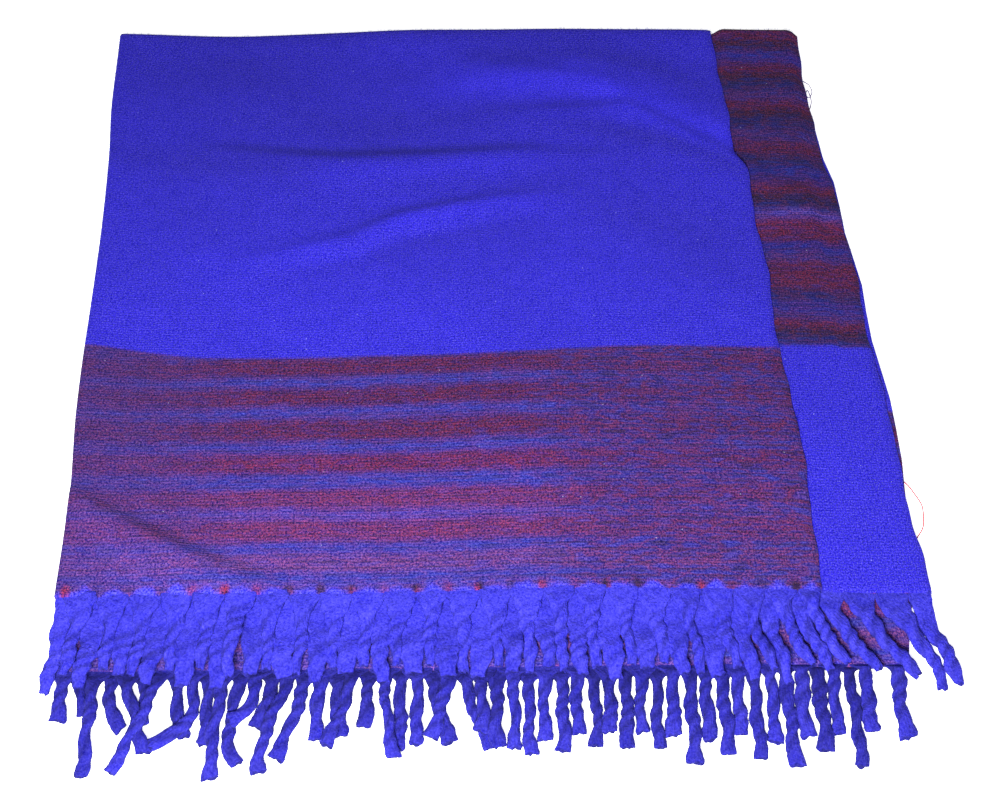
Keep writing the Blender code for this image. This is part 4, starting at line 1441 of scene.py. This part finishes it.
def floor_material():
    """Plain white paper, with a trace of unevenness."""
    material = bpy.data.materials.new("studio_paper")
    material.use_nodes = True
    wiring = Wiring(material.node_tree)
    shader = material.node_tree.nodes["Principled BSDF"]
    shader.inputs["Roughness"].default_value = 0.9
    body = wiring.add("ShaderNodeTexCoord").outputs["Object"]
    cloud = wiring.remap(wiring.noise(body, 3.0, 2.0), 0.3, 0.7, 0.90, 0.93)
    wiring.feed(shader.inputs["Base Color"], wiring.place(cloud, cloud, cloud))
    shader.inputs["Emission Color"].default_value = (1.0, 1.0, 1.0, 1.0)
    shader.inputs["Emission Strength"].default_value = PAPER_GLOW
    return material


# What a user may change


def length_setting(label, text, default):
    """A length that the user may change, in metres."""
    return bpy.props.FloatProperty(
        name=label, description=text, default=default, min=0.0, unit="LENGTH", precision=4
    )


def factor_setting(label, text, default, low):
    """A plain factor that the user may change."""
    return bpy.props.FloatProperty(
        name=label, description=text, default=default, min=low, max=2.0, subtype="FACTOR"
    )


def dye_setting(label, text, default):
    """A colour that the user may change."""
    return bpy.props.FloatVectorProperty(
        name=label, description=text, default=default, subtype="COLOR", size=3, min=0.0, max=1.0
    )


class BlanketClothSettings(bpy.types.PropertyGroup):
    """Sizes of the woven cloth"""

    thickness: length_setting("Thickness", "Thickness of the brushed cloth", 0.0025)
    pick_spacing: length_setting("Pick spacing", "Distance from one weft row to the next", 0.0024)
    warp_spacing: length_setting("Warp spacing", "Distance from one warp rib to the next", 0.0018)
    crease_strength: factor_setting("Crease strength", "How strongly the soft creases stand up", 1.0, 0.0)


class BlanketFringeSettings(bpy.types.PropertyGroup):
    """Sizes of the twisted fringe"""

    rope_width: length_setting("Strand width", "Width of a twisted strand", 0.0105)
    rope_height: length_setting("Strand height", "Height of a twisted strand as it lies", 0.0078)
    twist_length: length_setting("Twist length", "Length in which the plies turn round once", 0.026)
    tip_flare: factor_setting("Tip flare", "How much the cut tip widens", 1.22, 1.0)


class BlanketDyes(bpy.types.PropertyGroup):
    """Colours of the wool"""

    field: dye_setting("Field", "Royal blue of the plain field", (0.0160, 0.0110, 0.405))
    fringe: dye_setting("Fringe", "Brighter blue of the loose fringe", (0.0360, 0.0325, 0.460))
    warp: dye_setting("Warp", "Blue warp that shows through the stripes", (0.050, 0.040, 0.320))
    rose: dye_setting("Rose", "Red and blue weft spun together", (0.112, 0.015, 0.066))
    brick: dye_setting("Brick", "Red weft", (0.098, 0.008, 0.030))
    wine: dye_setting("Wine", "Dark red weft", (0.067, 0.006, 0.018))
    mauve: dye_setting("Mauve", "Pale purple weft", (0.092, 0.030, 0.165))
    violet: dye_setting("Violet", "Blue weft with some red", (0.060, 0.032, 0.255))
    plum: dye_setting("Plum", "Purple weft", (0.035, 0.014, 0.120))
    umber: dye_setting("Umber", "Nearly black red weft", (0.016, 0.005, 0.008))
    navy: dye_setting("Navy", "Nearly black blue weft", (0.008, 0.008, 0.062))
    slate: dye_setting("Slate", "Dark blue weft", (0.011, 0.013, 0.175))
    sky: dye_setting("Sky", "Light blue weft", (0.023, 0.028, 0.265))
    mixed: dye_setting("Mixed", "Red, blue and dark wool seen as one", (0.043, 0.016, 0.112))
    crimson: dye_setting("Crimson", "Red weft that shows between the strands", (0.150, 0.012, 0.035))
    scarlet: dye_setting("Scarlet", "Bright red ends of the weft", (0.420, 0.012, 0.030))


# What the add-on does


class FoldBlanketCloth(bpy.types.Operator):
    """Fold the woven cloth at the left and at the far side"""

    bl_idname = "blanket.fold_cloth"
    bl_label = "Fold Cloth"

    def execute(self, context):
        points, faces, values, flat = cloth_surface()
        piece = new_piece("blanket", points, faces, values, flat, blanket_material())
        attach(piece, "root")
        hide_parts("blanket_cloth")
        grow_hairs("blanket_hairs", (points, faces), CLOTH_HAIRS, 10)
        return {"FINISHED"}


class TwistBlanketFringe(bpy.types.Operator):
    """Twist the fringe of both ends and lay it in front of the pile"""

    bl_idname = "blanket.twist_fringe"
    bl_label = "Twist Fringe"

    def execute(self, context):
        lower, upper = all_strands()
        make_fringe("lower_fringe_strands", "lower_fringe", lower, 11)
        make_fringe("upper_fringe_strands", "upper_fringe", upper, 12)
        return {"FINISHED"}


class PullBlanketThread(bpy.types.Operator):
    """Pull out the loose threads at the right side"""

    bl_idname = "blanket.pull_thread"
    bl_label = "Pull Thread"

    def execute(self, context):
        for thread in THREADS:
            points, faces, values, flat = thread_surface(thread)
            material = thread_material(thread.dye)
            piece = new_piece(thread.name, points + pile_shift(), faces, values, flat, material)
            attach(piece, "root")
        return {"FINISHED"}


class DeclareBlanketCloth(bpy.types.Operator):
    """Does nothing: the blanket stays as the other steps made it"""

    bl_idname = "blanket.declare_cloth"
    bl_label = "Declare Cloth"

    def execute(self, context):
        return {"FINISHED"}


class LayBlanketStage(bpy.types.Operator):
    """Lay the white floor and set the studio lights and the camera"""

    bl_idname = "blanket.lay_stage"
    bl_label = "Lay Stage"

    def execute(self, context):
        bpy.ops.mesh.primitive_plane_add(size=FLOOR_SIZE, location=(0.0, 0.0, 0.0))
        floor = context.active_object
        floor.name = "studio_floor"
        floor.data.materials.append(floor_material())

        aim = Vector(pile_shift())
        back = Vector((0.0, -math.cos(CAMERA_ELEVATION), math.sin(CAMERA_ELEVATION)))
        camera = bpy.data.objects.new("photo_camera", bpy.data.cameras.new("photo_camera"))
        camera.data.lens = LENS
        camera.data.sensor_width = SENSOR_WIDTH
        camera.location = aim + CAMERA_DISTANCE * back
        camera.rotation_euler = (math.pi / 2 - CAMERA_ELEVATION, 0.0, 0.0)
        context.scene.collection.objects.link(camera)
        context.scene.camera = camera

        softbox = bpy.data.lights.new("near_softbox", "AREA")
        softbox.size = SOFTBOX_SIZE
        softbox.energy = SOFTBOX_POWER
        light = bpy.data.objects.new("near_softbox", softbox)
        light.location = SOFTBOX_PLACE
        light.rotation_euler = (aim - light.location).to_track_quat("-Z", "Y").to_euler()
        context.scene.collection.objects.link(light)

        world = bpy.data.worlds.new("studio_room")
        world.use_nodes = True
        room = world.node_tree.nodes["Background"]
        room.inputs["Color"].default_value = (1.0, 1.0, 1.0, 1.0)
        room.inputs["Strength"].default_value = ROOM_LIGHT
        context.scene.world = world
        context.scene.view_settings.view_transform = "Standard"
        return {"FINISHED"}


class BlanketPanel(bpy.types.Panel):
    """The blanket's sizes, colours and steps"""

    bl_idname = "VIEW3D_PT_folded_blanket"
    bl_label = "Folded Blanket"
    bl_space_type = "VIEW_3D"
    bl_region_type = "UI"
    bl_category = "Blanket"

    def draw(self, context):
        for label, kind in SETTINGS.items():
            box = self.layout.box()
            for name in kind.__annotations__:
                box.prop(getattr(context.scene, label), name)
        for step in STEPS:
            self.layout.operator(step.bl_idname)


SETTINGS = {
    "blanket_cloth": BlanketClothSettings,
    "blanket_fringe": BlanketFringeSettings,
    "blanket_dyes": BlanketDyes,
}
STEPS = (LayBlanketStage, FoldBlanketCloth, TwistBlanketFringe, PullBlanketThread, DeclareBlanketCloth)


def register():
    for kind in (*SETTINGS.values(), *STEPS, BlanketPanel):
        bpy.utils.register_class(kind)
    for name, kind in SETTINGS.items():
        setattr(bpy.types.Scene, name, bpy.props.PointerProperty(type=kind))


def unregister():
    for name in SETTINGS:
        delattr(bpy.types.Scene, name)
    for kind in reversed((*SETTINGS.values(), *STEPS, BlanketPanel)):
        bpy.utils.unregister_class(kind)


def main():
    register()
    for step in STEPS:
        space, name = step.bl_idname.split(".")
        getattr(getattr(bpy.ops, space), name)()


if __name__ == "__main__":
    main()
